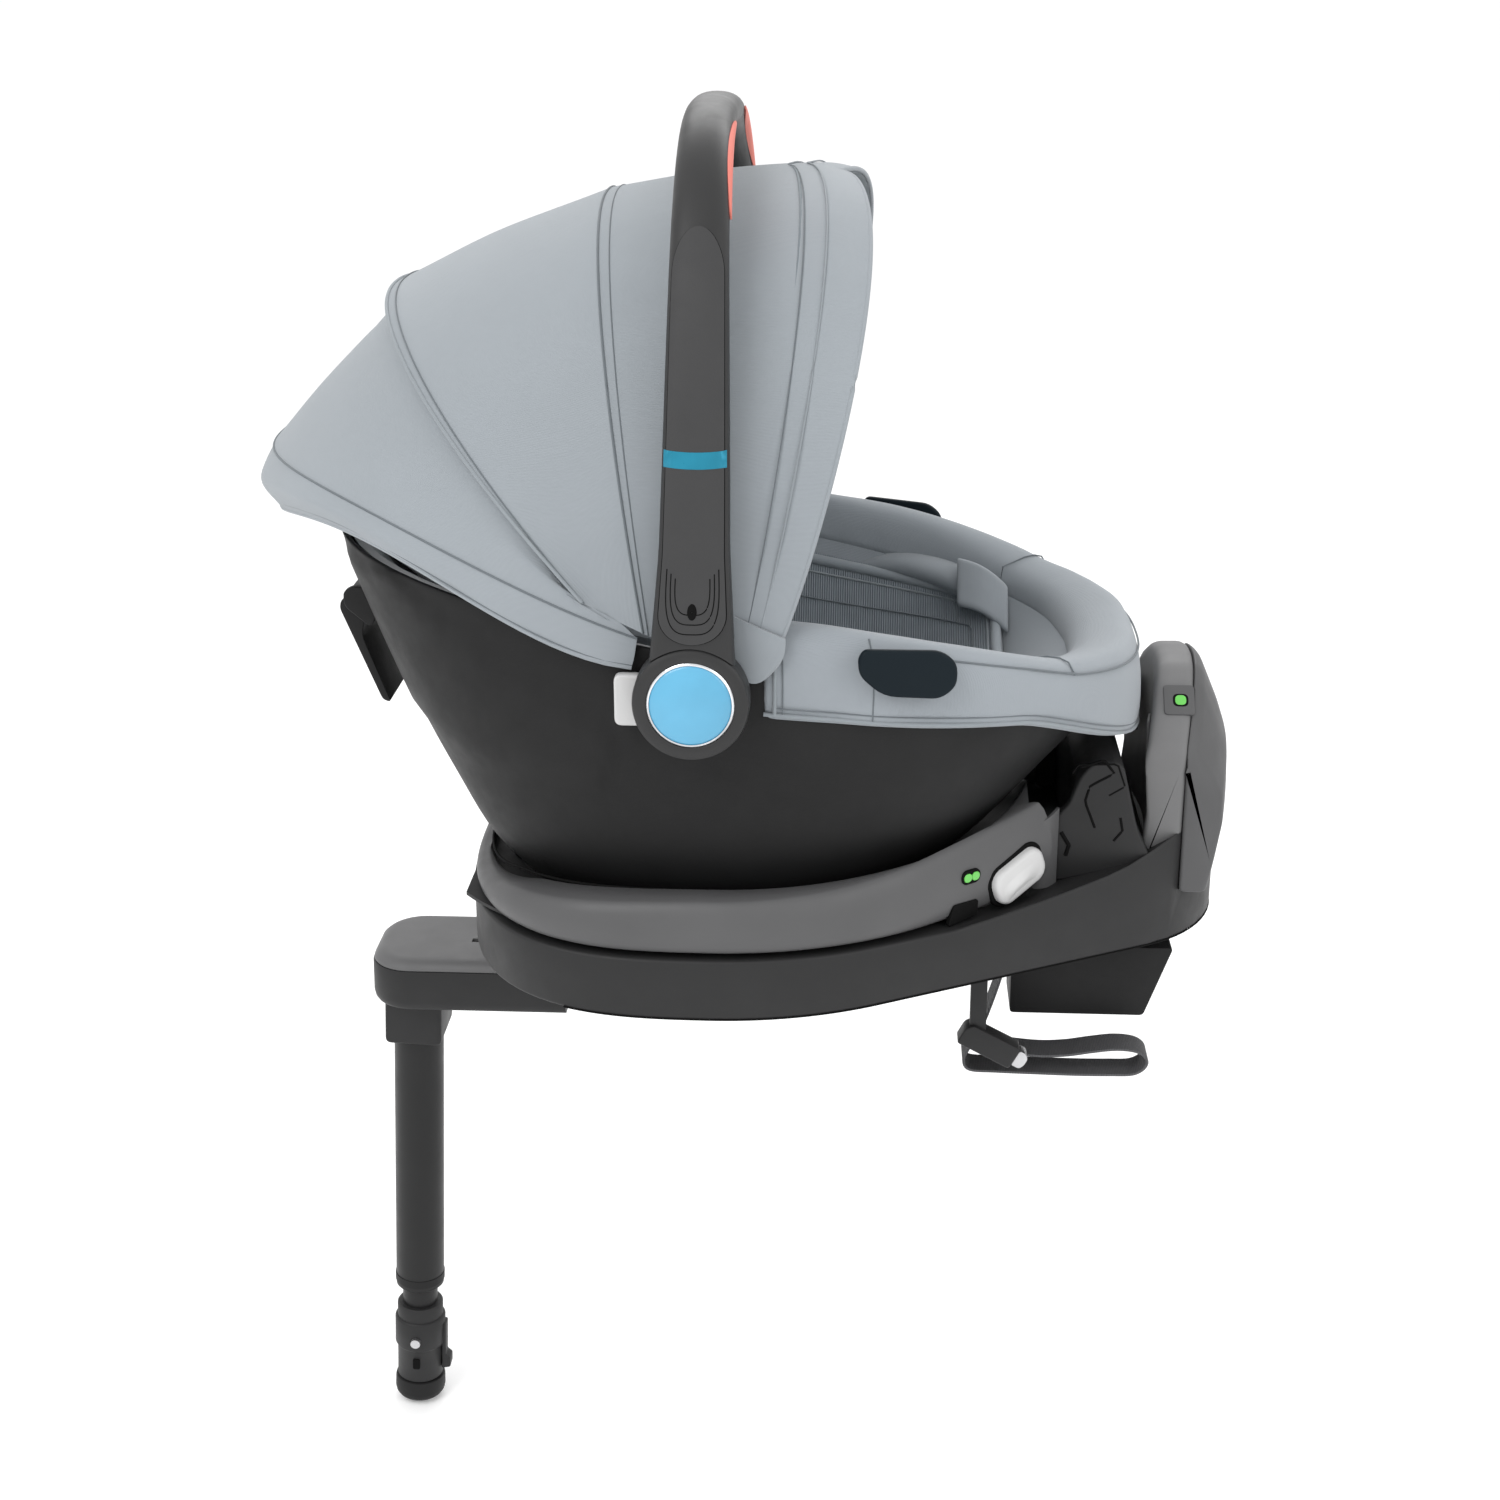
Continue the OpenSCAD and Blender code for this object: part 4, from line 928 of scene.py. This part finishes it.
def pill(w, h, r, n=10):
    out = []
    for cx, cz, q0 in ((w - r, h - r, 0), (-w + r, h - r, 90), (-w + r, -h + r, 180), (w - r, -h + r, 270)):
        for t in np.linspace(0, 90, n):
            q = radians(q0 + t)
            out.append((cx + r * cos(q), cz + r * sin(q)))
    return out


for side, word in BOTH:
    node = "rotate_button_" + word
    lozenge = ring_slab(node + "_body", pill(24, 14, 11), -10, 6, WHITE, side, 76, 156, 22, 3.4)
    place(lozenge, node, node, slot="white_plastic")
    # Near-black rim round the button, a little larger than it: painted shade in the gap round the button.
    bezel = ring_slab("button_seat_" + word, pill(27, 17, 13), -9, 0.2, SHADE_BLACK, side, 76, 156, 22, 1.0)
    place(bezel, "turntable", slot="ring_grey")
    ridge_rows = []
    for k in range(9):
        v = k / 8
        ridge_rows.append([on_ring_flat(side, 76, 156, 22)((6 + 3 * sin(pi * u) * sin(pi * min(1,
            v * 1.25)) ** 0.7,
                           mix(-19, 19, v), mix(-7, 5, u) - 3 * (2 * v - 1) ** 2)) for u in np.linspace(0, 1,
                               9)])
    ridge = skin(node + "_ridge", ridge_rows, WHITE, angle=80)
    subdivide(ridge, 1, 80)
    place(ridge, node, slot="white_plastic")
    # Near-black rim round the green lock windows: painted shade in their recess.
    place(ring_slab("window_seat_" + word, pill(8.6, 5.2, 5), -2, 0.9, SHADE_BLACK, side, 31.6, 166, 0, 0.6),
        "turntable", slot="ring_grey")
    green = [ring_slab("lock_window_%s_%d" % (word, k), pill(3.6, 3.2, 3), -1, 1.7, GREEN, side, 31.6 + dx,
        166, 0, 0.7)
             for k, dx in enumerate((-3.6, 3.6))]
    for k, g in enumerate(green):
        place(g, "turntable", *(["lock_windows"] if side < 0 and k == 0 else []), slot="signal_green")
    # Near-black notch on the ring: painted shade in the notch.
    place(ring_slab("ring_notch_" + word, soft([(-14, -8), (14, -6), (14, 6), (-9, 7)], 2), -3, 0.35, SHADE_BLACK,
        side, 25, 141, 0, 0.2), "turntable",
          slot="ring_grey")

TOWER = [(241, 136.5), (290, 148), (314, 152), (301, 178), (289, 226), (283, 230), (267, 230), (258, 219),
    (250, 196), (241, 188)]
tower = slab("latch_tower_body", soft(TOWER, 7), -99.5, 99.5, BASE, 2.6, segments=4)
cut = box_piece("cut", (225, -92, 120), (256, 92, 240), BASE)
carve(tower, cut)
place(tower, "turntable", "latch_tower", slot="base_grey")
for side, word in BOTH:
    y = side * 99.3
    # Near-black lines on the tower's sides: the catch's seams, darkened as painted shade.
    for k, (path, r) in enumerate(((((258, 226), (274, 232), (282, 222), (265, 212), (262, 200), (270, 180)),
        1.0),
                                   (((252, 221), (256, 228), (284, 229), (290, 212), (279, 205)), 0.7),
                                   (((288, 188), (290, 178), (284, 170)), 1.0),
                                   (((246, 176), (252, 166), (250, 158)), 1.6))):
        pts = np.array([(x, y, z) for x, z in path])
        fine = np.array([pts[min(int(t), len(pts) - 2)] * (1 - (t - min(int(t), len(pts) - 2))) +
                         pts[min(int(t), len(pts) - 2) + 1] * (t - min(int(t),
                             len(pts) - 2)) for t in np.linspace(0, len(pts) - 1, 24)])
        place(cord_mesh("catch_line_%s_%d" % (word, k), fine, r, SHADE_BLACK), "turntable", slot="base_grey")
    # Scooped wall between the ring and the tower.
    scoop = []
    for k in range(10):
        v = k / 9
        scoop.append([(mix(226, 243, v), side * mix(111.5, 101.5, v ** 1.6) + side * 2.5 * sin(pi * v),
                       mix(137, mix(186, 196, v), u)) for u in np.linspace(0, 1, 8)])
    scoop_ob = skin("ring_scoop_" + word, scoop, RING, angle=80)
    thicken(scoop_ob, 2, 0, 80)
    place(scoop_ob, "turntable", slot="ring_grey")

# ---------- base ----------


def egg(a, inset=0.0):
    return egg_r(a, 188, 370, 238, 115) - inset


rows = []
for z, inset, head_cut, foot_cut in ((0, 150, 64, 143), (0, 146, 62, 147), (1.2, 140.5, 60, 148.5),
    (4, 134, 57.5, 150), (20, 105, 48, 168),
                                     (38, 76, 40, 190), (54, 49, 29, 245), (68, 30, 20, 300),
                                     (80, 15, 13.5, 333), (87.7, 8, 10, 350)):
    row = []
    for a in around(144):
        x, y = egg(a) * cos(a) * (1 - inset / 238), egg(a) * sin(a) * (1 - inset / 238)
        row.append((clamp(x, -188 + head_cut, foot_cut), y, z))
    rows.append(row)
belly = skin("base_belly", rows, BELLY, ring=True, caps=True, angle=50)
bevel(belly, 3, 3)
ARM_TURN = dict(turn=-5, pivot=(-249, 0, 5))
carve(belly, box_piece("cut", (0, -31, -60), (530, 31, 27), BASE, **ARM_TURN),
      box_piece("cut", (150, -130, -20), (400, 130, 75.8), BASE),
      box_piece("cut", (-309, -50.2, -20), (-124.9, 50.2, 28.3), BASE),
      box_piece("cut", (-30, -42, -25), (20, 42, 25), BASE, turn=-37, pivot=(-168, 0, 59)), angle=50)
place(belly, "base", "base_shell", slot="shell_black")

rows = []
for a in around(144):
    r = egg(a)
    top = deck_z(r)
    q = min(230, r - 7)
    prof = [(r - 5, 88.2), (r - 1.2, 88.2), (r - 0.3, 89), (r, 90.5), (r, mix(90, top, 0.5)), (r, top - 2.4),
        (r - 0.6, top - 0.9), (r - 2, top - 0.2)]
    prof += [(mix(r - 4, q, t), deck_z(mix(r - 4, q, t))) for t in np.linspace(0, 1, 9)]
    prof += [(181.4, 132), (180.2, 130.8), (180, 98.4), (181.5, 97), (r - 12, 90)]
    rows.append([(d * cos(a), d * sin(a), z) for d, z in prof])
deck = skin("base_deck_body", rows, BASE, ring=True, loop=True, angle=45)
COVER_R = 344.6
y_cut = np.linspace(-84.2, 84.2, 25)
cover_cut = skin("cut", [[(sqrt(COVER_R ** 2 - y * y), y, 125.8), (420, y, 125.8), (420, y, 260),
    (sqrt(COVER_R ** 2 - y * y), y, 260)]
                         for y in y_cut], BASE, ring=True, caps=True)
carve(deck, cover_cut, angle=45)
place(deck, "base", "base_deck", slot="base_grey")
# Near-black joint under the band of the deck: a real joint, darkened as painted shade under the band.
place(cord_mesh("band_joint", [(egg(a, 0.4) * cos(a), egg(a, 0.4) * sin(a), 88.1) for a in np.linspace(-2.0,
    2.0, 160)], 0.7, SHADE_BLACK), "base",
      slot="base_grey")

housing = slab("rear_housing_body", soft([(216, 20), (316, 20), (335.6, 75.9), (216, 75.9)], 3, 4), -78, 78,
    SHELL, 2.5)
carve(housing, box_piece("cut", (0, -31, -60), (600, 31, 27), SHELL, **ARM_TURN))
place(housing, "base", "rear_housing", slot="shell_black")


# Draws a closed outline in by a distance.
def inset_loop(pts, d):
    pts = np.array(pts, float)
    nxt, prv = np.roll(pts, -1, 0), np.roll(pts, 1, 0)
    t = (nxt - prv)
    t /= np.linalg.norm(t, axis=1, keepdims=True) + 1e-9
    n = np.stack([-t[:, 1], t[:, 0]], 1)
    area = np.sum(pts[:, 0] * nxt[:, 1] - nxt[:, 0] * pts[:, 1])
    return pts + n * d * (1 if area > 0 else -1)


DOME_Y, DOME_Z = (10, 28, 44, 66, 81, 84), (286, 283, 274, 252, 234, 220)
DOME_FROM, DOME_RANGE = 120, 189.6  # the outlines are scaled to the dome above this height


def bar_piece(name, outline, half, mat, ends=((0, 3.4), (0.6, 1.6), (2, 0.5), (4.5, 0))):
    ys = [(-half + d, i) for d, i in ends] + [(y, 0) for y in np.linspace(-half + 8, half - 8,
        30)] + [(half - d, i) for d, i in ends[::-1]]
    rows = []
    for y, i in ys:
        top = np.interp(abs(y), DOME_Y, DOME_Z)
        rows.append([(sqrt(max(r, 1) ** 2 - y * y), y,
            z if z < DOME_FROM else DOME_FROM + (z - DOME_FROM) * (top - DOME_FROM) / DOME_RANGE)
                     for r, z in inset_loop(outline, i)])
    ob = skin(name, rows, mat, ring=True, caps=True, angle=50)
    return ob


BAR_HALF = 84
INNER_BAR = soft([(315, 153.8), (319, 232), (316, 298), (319, 306), (325, 309.2), (344.7, 309.6),
    (344.7, 171.7)], 7, 5)
OUTER_BAR = soft([(344.9, 309.6), (352, 302), (365, 268), (372, 245), (373, 217), (369, 170), (364.6, 126.2),
    (345, 126.2)], 6, 5)
place(bar_piece("bar_inner_body", INNER_BAR, BAR_HALF, BAR), "base", "rebound_bar_inner", slot="trim_grey")
place(bar_piece("bar_outer_body", OUTER_BAR, BAR_HALF, BAR_BACK), "base", "rebound_bar_outer",
    slot="trim_grey")


# A flat piece on the near slope of the bar's top: v[1] points into the bar.
def on_slope(v):
    return 330.5 + v[0], -55 + (v[2] + v[1]) * sqrt(0.5), 263 + (v[2] - v[1]) * sqrt(0.5)


place(slab("level_patch", soft([(-11, -12), (11, -12), (11, 12), (-11, 12)], 3), -1.3, 4, BAR_BACK, 0.5,
    on_slope), "base", "level_bezel",
      slot="ring_grey")
# Near-black surround of the level lens: painted shade in its recess.
place(slab("level_hole", soft([(-4.6, -5.6), (6.6, -5.6), (6.6, 4.6), (-4.6, 4.6)], 4), -1.5, 0, SHADE_BLACK, 0.2,
    on_slope), "base", slot="ring_grey")
place(slab("level_lens_body", soft([(-3, -4.4), (5, -4.4), (5, 3.4), (-3, 3.4)], 3.4), -1.8, -1, GREEN, 0.3,
    on_slope),
      "base", "level_lens", slot="signal_green")
for k, a in enumerate((-9, 9)):
    c, s_ = cos(radians(a)), sin(radians(a))
    t = radians(-1.2)

    def plate_at(v):
        x, z = 315.4 + v[1] * cos(t) + v[2] * sin(t), 206 - v[1] * sin(t) + v[2] * cos(t)
        return x * c - v[0] * s_, x * s_ + v[0] * c, z

    place(slab("bar_plate_%d" % k, soft([(-9, 0), (9, 0), (9, 42), (-9, 42)], 2), -1.2, 1.0, BAR_BACK, 0.4,
        plate_at), "base",
          *(["bar_plates"] if k == 0 else []), slot="trim_grey")
    place(slab("bar_plate_face_%d" % k, soft([(-7, 2.5), (7, 2.5), (7, 39.5), (-7, 39.5)], 1.5), -1.5, -1.0,
        RING, 0.15, plate_at), "base",
          slot="trim_grey")

# ---------- arm, lever and load leg ----------


def arm_outline(inset, foot_x=-125):
    pts = []
    r = 34 - inset
    for cy, q0 in ((-16, 270), (16, 180)):
        for t in np.linspace(0, -90, 14):
            q = radians(q0 + t)
            pts.append((-247 + r * cos(q), cy + r * sin(q)))
    pts += [(foot_x, 50 - inset), (foot_x, -50 + inset)]
    return pts


def stack(name, levels, mat, foot_x=-125, angle=40):
    return skin(name, [[(x, y, z) for x, y in arm_outline(i, foot_x)] for z, i in levels], mat, ring=True,
        caps=True, angle=angle)


arm = stack("arm_body", [(-6, 7), (-5.6, 4.5), (-4.4, 2.4), (-2, 0.8), (2, 0), (26.8, 0.6), (28, 1.2)], BASE)
carve(arm, box_piece("cut", (-275, -28.4, -10), (-115, 28.4, 50), BASE))
place(arm, "base", "leg_arm_housing", slot="base_grey")
cover = stack("arm_cover_body", [(28.2, 2), (29, 1.4), (31.5, 2.2), (34.2, 5.5), (35.6, 9), (36.1, 13)], ARM,
    -150)
carve(cover, box_piece("cut", (-204, -8, 33.6), (-195.5, -1.5, 50), ARM),
      box_piece("cut", (-27, -28.5, -60), (85, 28.5, 23), ARM, **ARM_TURN))
place(cover, "base", "leg_arm_cover", slot="base_grey")
# Near-black floor of the hole in the arm cover: painted shade in the hole.
place(box_piece("arm_hole_floor", (-204.2, -8.2, 32.6), (-195.3, -1.3, 33.8), SHADE_BLACK), "base", slot="base_grey")


def slope(v):
    c, s_ = cos(radians(-37)), sin(radians(-37))
    return -168 + v[0] * c + v[2] * s_, v[1], 59 - v[0] * s_ + v[2] * c


lever_side = [(9, -21), (9, 21), (-3, 21)]
for k in range(8):
    z = 17.5 - 5 * k
    lever_side += [(-6, z + 1.0), (-6, z - 1.2), (-3.4, z - 2.2)]
lever_side += [(-3, -21)]
place(slab("front_lever_body", lever_side, -36, 36, WHITE, 0.6, slope, 2), "front_lever", "front_lever",
    slot="white_plastic")

LEAN = radians(2.6)


def on_leg(v):
    return -249 + v[0] * cos(LEAN) + v[2] * sin(LEAN), v[1], 5 - v[0] * sin(LEAN) + v[2] * cos(LEAN)


def turned(name, profile, mat, move=on_leg, n=64, angle=40):
    rows = [[move((r * cos(q), r * sin(q), z)) for q in around(n)] for r, z in profile]
    return skin(name, rows, mat, ring=True, caps=True, angle=angle)


place(turned("leg_outer_body", [(19, -286.9), (19.8, -286), (19.8, -20), (19.8, -14.3)], TUBE), "leg",
    "leg_outer_tube", slot="base_grey")
place(turned("leg_outer_rim", [(19.4, -283), (20.4, -282.4), (20.4, -276), (19.4, -275.4)], SHELL), "leg",
    slot="base_grey")
socket = slab("leg_socket_body", soft([(-22.5, -52), (22.5, -52), (22.5, 8), (14, 18), (0, 22), (-14, 18),
    (-22.5, 8)], 5), -26, 26, BASE, 2.2, on_leg, 3)
place(socket, "leg", "leg_socket", slot="base_grey")
L = -396
place(turned("leg_inner_body", [(14.5, L + 52), (14.5, -112)], TUBE), "leg_inner", "leg_inner_tube",
    slot="base_grey")
place(turned("foot_collar_body", [(18, L + 20), (19, L + 21), (19, L + 50), (20.2, L + 51.5), (21, L + 53),
    (21, L + 76.5), (20, L + 78), (19, L + 78.4),
                                  (19, L + 89.6), (18, L + 91)], BASE), "leg_inner", "foot_collar",
                                  slot="base_grey")
place(turned("foot_cap_body", [(13.5, L), (15.5, L + 0.3), (18.5, L + 2), (20.2, L + 4.6), (21, L + 8),
    (20.8, L + 17), (20.3, L + 19.2), (19, L + 19.8)], SHELL),
      "leg_inner", "foot_cap", slot="shell_black")
# The foot collar's window is near-black: painted shade inside it.
place(slab("foot_window_body", [(x, z + L + 39) for x, z in pill(3, 5, 1.5)], -19.7, -18.4, SHADE_BLACK, 0.2,
    on_leg), "leg_inner", "foot_window", slot="base_grey")
place(slab("foot_lever_body", soft([(19.2, L + 27), (26.5, L + 29), (26.5, L + 38), (22.5, L + 41),
    (22.5, L + 71), (19.2, L + 71)], 1.5), -5.5, 5.5, BASE, 0.9,
           on_leg), "foot_lever", "foot_lever", slot="base_grey")

# ---------- lower anchors and webbing ----------


def on_anchor(side):
    c, s_ = cos(radians(28)), sin(radians(28))

    def move(v):
        return 200 + v[0] * c + v[2] * s_, side * (121 + v[1]), 16 - v[0] * s_ + v[2] * c
    return move


for side, word in BOTH:
    body = slab("anchor_body_" + word, soft([(-24, -9), (20, -9), (20, 9), (-20, 9), (-24, 4)], 2.5), -8, 8,
        BASE, 1.4, on_anchor(side))
    place(body, "base", *first(side, "anchor_connectors"), slot="base_grey")
    place(slab("anchor_stem_" + word, [(184, 20), (196, 20), (196, 75.8), (184, 75.8)], side * 126,
        side * 116, BASE, 1), "base", slot="base_grey")
    hook = slab("anchor_tip_" + word, soft([(20.1, -6), (27, -6), (29, -2), (29, 4), (26, 7), (20.1, 7)], 2),
        -6, 6, STEEL, 0.8, on_anchor(side))
    place(hook, "base", *first(side, "anchor_tips"), slot="steel")

path = np.array([(209, 75), (203, 52), (194, 24), (184, 4), (181, -5), (186, -12), (205, -13), (235, -13.6),
    (265, -14), (290, -13.6), (307, -12.6),
                 (315.5, -7), (316.6, 0), (309, 6), (294, 7.6), (276, 5.2), (258, 2), (238, 0.8), (212, 3),
                 (192, 5)], float)
fine = []
for i in range(len(path) - 1):
    p0, p1, p2, p3 = path[max(i - 1, 0)], path[i], path[i + 1], path[min(i + 2, len(path) - 1)]
    for t in np.linspace(0, 1, 5, endpoint=False):
        fine.append(curve(p0, p1, p2, p3, t))
fine = np.array(fine)
web = skin("tether_webbing", [[(x, y, z) for x, z in fine] for y in np.linspace(-111, -86, 7)], STRAP,
    angle=80)
thicken(web, 1.8, 0, 80)
place(web, "base", "tether_strap", slot="webbing")

# ---------- handle ----------

HX, HZ = -11, 314
SPAN, RISE = 212, 345  # half span and height of the handle's curve
INSIDE, DEPTH = 12.2, 11.6  # from the curve to the arm's inside, and on to its outside


def arm_width(h):
    return mix(60, 46, h / 100) if h < 100 else mix(46, 35, clamp((h - 100) / 250, 0, 1))


def handle_point(u, off):
    c, s_ = cos(u), sin(u)
    y, z = -SPAN * float(spow(c, 2 / 2.7)), RISE * s_ ** (2 / 2.7)
    g = np.array([float(spow(y / SPAN, 1.7)) / SPAN, (z / RISE) ** 1.7 / RISE])
    g /= np.linalg.norm(g)
    return y + g[0] * off, z + g[1] * off


def squareness(h):
    return mix(4.2, 2.3, float(smoothstep(h / 330)))


def handle_x(h):
    return HX + 4 * sin(radians(clamp(h / RISE, 0, 1) * 150))


# Thickness of the arm at a fraction of its half width; the section rounds towards the grip.
def crown(h, f):
    n = squareness(h)
    return INSIDE + DEPTH * max(0.0, 1 - abs(f) ** n) ** (1 / n)


def on_handle(u, f, lift=0.0):
    h = handle_point(u, 0.4)[1]
    w = arm_width(h) / 2
    y, z = handle_point(u, crown(h, f) + lift)
    return handle_x(h) + f * w, y, HZ + z


rows = []
for u in np.radians(np.linspace(1.2, 178.8, 121)):
    h = handle_point(u, 0.4)[1]
    w = arm_width(h) / 2
    n = squareness(h)
    x0 = handle_x(h)
    row = []
    for q in around(32):
        off = INSIDE + DEPTH * float(spow(sin(q), 2 / n))
        y, z = handle_point(u, off)
        row.append((x0 + w * float(spow(cos(q), 2 / n)), y, HZ + z))
    rows.append(row)
handle = skin("handle_body", rows, HANDLE, ring=True, caps=True, angle=70)


def turned_y(name, profile, mat, side, n=96, angle=40, cx=HX, cz=HZ):
    rows = [[(cx + r * cos(q), side * y, cz + r * sin(q)) for q in around(n)] for r, y in profile]
    return skin(name, rows, mat, ring=True, caps=True, angle=angle)


carve(handle, *[turned_y("cut", [(38.9, 200), (38.9, 250)], HANDLE, side) for side in (-1, 1)], angle=70)
place(handle, "handle", "handle_arch", slot="shell_black")

U_TABLE = np.radians(np.linspace(1.5, 90, 300))
H_TABLE = np.array([handle_point(u, 23.8)[1] for u in U_TABLE])


def u_at(h):
    return float(np.interp(h, H_TABLE, U_TABLE))


def inlay_half(h, low=42, high=299, full=0.84, round_low=20, round_high=26):
    w = arm_width(h) / 2 * full
    f = full
    if h < low + round_low:
        f *= sqrt(max(0, 1 - ((low + round_low - h) / round_low) ** 2))
    if h > high - round_high:
        f *= sqrt(max(0, 1 - ((h - high + round_high) / round_high) ** 2))
    return f


for side, word in BOTH:
    def flip(p):
        return (p[0], p[1] * -side, p[2])

    hs = np.concatenate([42 + 20 * (1 - np.cos(np.linspace(0.02, pi / 2, 10))), np.linspace(70, 268, 40),
                         299 - 26 * (1 - np.sin(np.linspace(0.1, pi / 2 - 0.02, 10)))])
    hs = np.unique(np.clip(hs, 42.01, 298.99))
    rows = [[flip(on_handle(u_at(h), f * inlay_half(h), 0.55)) for f in np.linspace(-1, 1, 17)] for h in hs]
    inlay = skin("inlay_" + word, rows, INLAY, angle=80)
    thicken(inlay, 1.4, 0, 80)
    place(inlay, "handle", *first(side, "handle_inlays"), slot="trim_grey")
    # Near-black line round each inlay: painted shade in the gap between inlay and handle.
    edge = [on_handle(u_at(h), inlay_half(h) + 0.015, 0.25) for h in hs] + [on_handle(u_at(h),
        -inlay_half(h) - 0.015, 0.25) for h in hs[::-1]]
    place(cord_mesh("inlay_gap_" + word, [flip(p) for p in edge], 0.45, SHADE_BLACK, closed=True), "handle",
        slot="shell_black")
    # Three grooves in the inlay, drawn near-black as painted shade in them.
    for k in range(3):
        low, full, top = 49 + 6.5 * k, 0.70 - 0.12 * k, 92 - 3 * k
        pts = []
        for t in np.linspace(0, pi, 40):
            q = cos(t)
            f = full * abs(q) ** 0.6 * (1 if q > 0 else -1)
            pts.append(on_handle(u_at(mix(top, low, sin(t) ** 0.6)), f, 1.15))
        place(cord_mesh("inlay_groove_%s_%d" % (word, k), [flip(p) for p in pts], 0.4, SHADE_BLACK), "handle",
            slot="shell_black")
    dot = skin("inlay_dot_" + word, [[flip(on_handle(u_at(64 + 5.5 * r * sin(q)), 0.12 * r * cos(q),
        1.3 + lift)) for q in around(28)]
                                     for r, lift in ((1, 0), (0.9, 0.5), (0.55, 0.8), (0.1, 0.85))], SHADE_BLACK,
                                     ring=True, angle=60)
    place(dot, "handle", slot="shell_black")
    band_rows = [[flip(on_handle(u_at(h + 1.5 * f * f), f * 0.93, lift)) for f in np.linspace(-1, 1, 21)]
                 for h, lift in ((155, 0.9), (155.3, 1.5), (165.7, 1.5), (166, 0.9))]
    band = skin("handle_band_" + word, band_rows, BAND, angle=60)
    place(band, "handle", *first(side, "handle_bands"), slot="band_blue")
    hub = turned_y("hub_" + word, [(36, 212.5), (38.3, 213.5), (38.7, 215), (38.7, 231), (37.9, 233.4),
        (35.6, 234.8), (30.4, 235.2), (29.3, 234.6), (29.2, 231)],
                   HANDLE, side)
    place(hub, "handle", *first(side, "handle_hubs"), slot="shell_black")
    place(turned_y("hub_rim_" + word, [(29.1, 233), (29, 234.6), (28.2, 235.3), (27.3, 234.9), (27.2, 233)],
        CHROME, side), "handle", slot="steel")
    cap = turned_y("hub_cap_" + word, [(27.4, 233), (27.2, 234.4), (25.5, 235.3), (20, 236.6), (12, 237.6),
        (4, 238), (0.5, 238)], BLUE, side, angle=80)
    place(cap, "handle", *first(side, "hub_caps"), slot="cap_blue")
    boss = turned_y("pivot_boss_" + word, [(36, 199.8), (37, 200.5), (37, 210.6), (36, 211.4)], BASE, side)
    carve(boss, *[box_piece("cut", (-66, min(side * 190, side * 214), 289.5),
        (-44, max(side * 190, side * 214), 328), BASE),
                  box_piece("cut", (-80, min(side * 190, side * 220), 328),
                      (60, max(side * 190, side * 220), 368), BASE)])
    place(boss, "carrier", *first(side, "pivot_bosses"), slot="base_grey")
    y = sorted((side * 211.4, side * 202.4))
    button = slab("handle_button_body_" + word, soft([(-63.6, 291), (-44.6, 291), (-44.6, 326.5),
        (-63.6, 326.5)], 5), y[0], y[1], WHITE, 1.6)
    place(button, "handle_button_" + word, "handle_button_" + word, slot="white_plastic")

# Coral pads on the foot side of the grip.
for side, word in BOTH:
    rows = []
    for u in np.radians(np.linspace(53.5, 80.5, 26)):
        t = (degrees(u) - 53.5) / 27
        half = 0.62 * sqrt(max(0.0, 1 - (2 * t - 1) ** 2)) + 0.01
        h = handle_point(u, 0.4)[1]
        w = arm_width(h) / 2
        n = squareness(h)
        x0 = handle_x(h)
        row = []
        for f in np.linspace(-1, 1, 9):
            q = half * f
            y, z = handle_point(u, INSIDE + DEPTH * float(spow(sin(q), 2 / n)) * 0.8)
            row.append((x0 + (w + 0.8) * float(spow(cos(q), 2 / n)), y * -side, HZ + z))
        rows.append(row)
    coral = skin("grip_pad_" + word, rows, CORAL, angle=80)
    thicken(coral, 1.2, 0, 80)
    place(coral, "handle", *first(side, "grip_insert"), slot="coral")

# ---------- floor ----------

floor_mat, floor_nt, floor_shader, floor_coords = graph("floor_paint", (0.92, 0.92, 0.92), 0.9)
floor_shader.inputs["Emission Color"].default_value = (1, 1, 1, 1)
floor_shader.inputs["Emission Strength"].default_value = 0.14
floor = new_piece("floor", [(x, y, -393.2) for x, y in ((-60000, -60000), (60000, -60000), (60000, 60000),
    (-60000, 60000))], [(0, 1, 2, 3)], floor_mat)
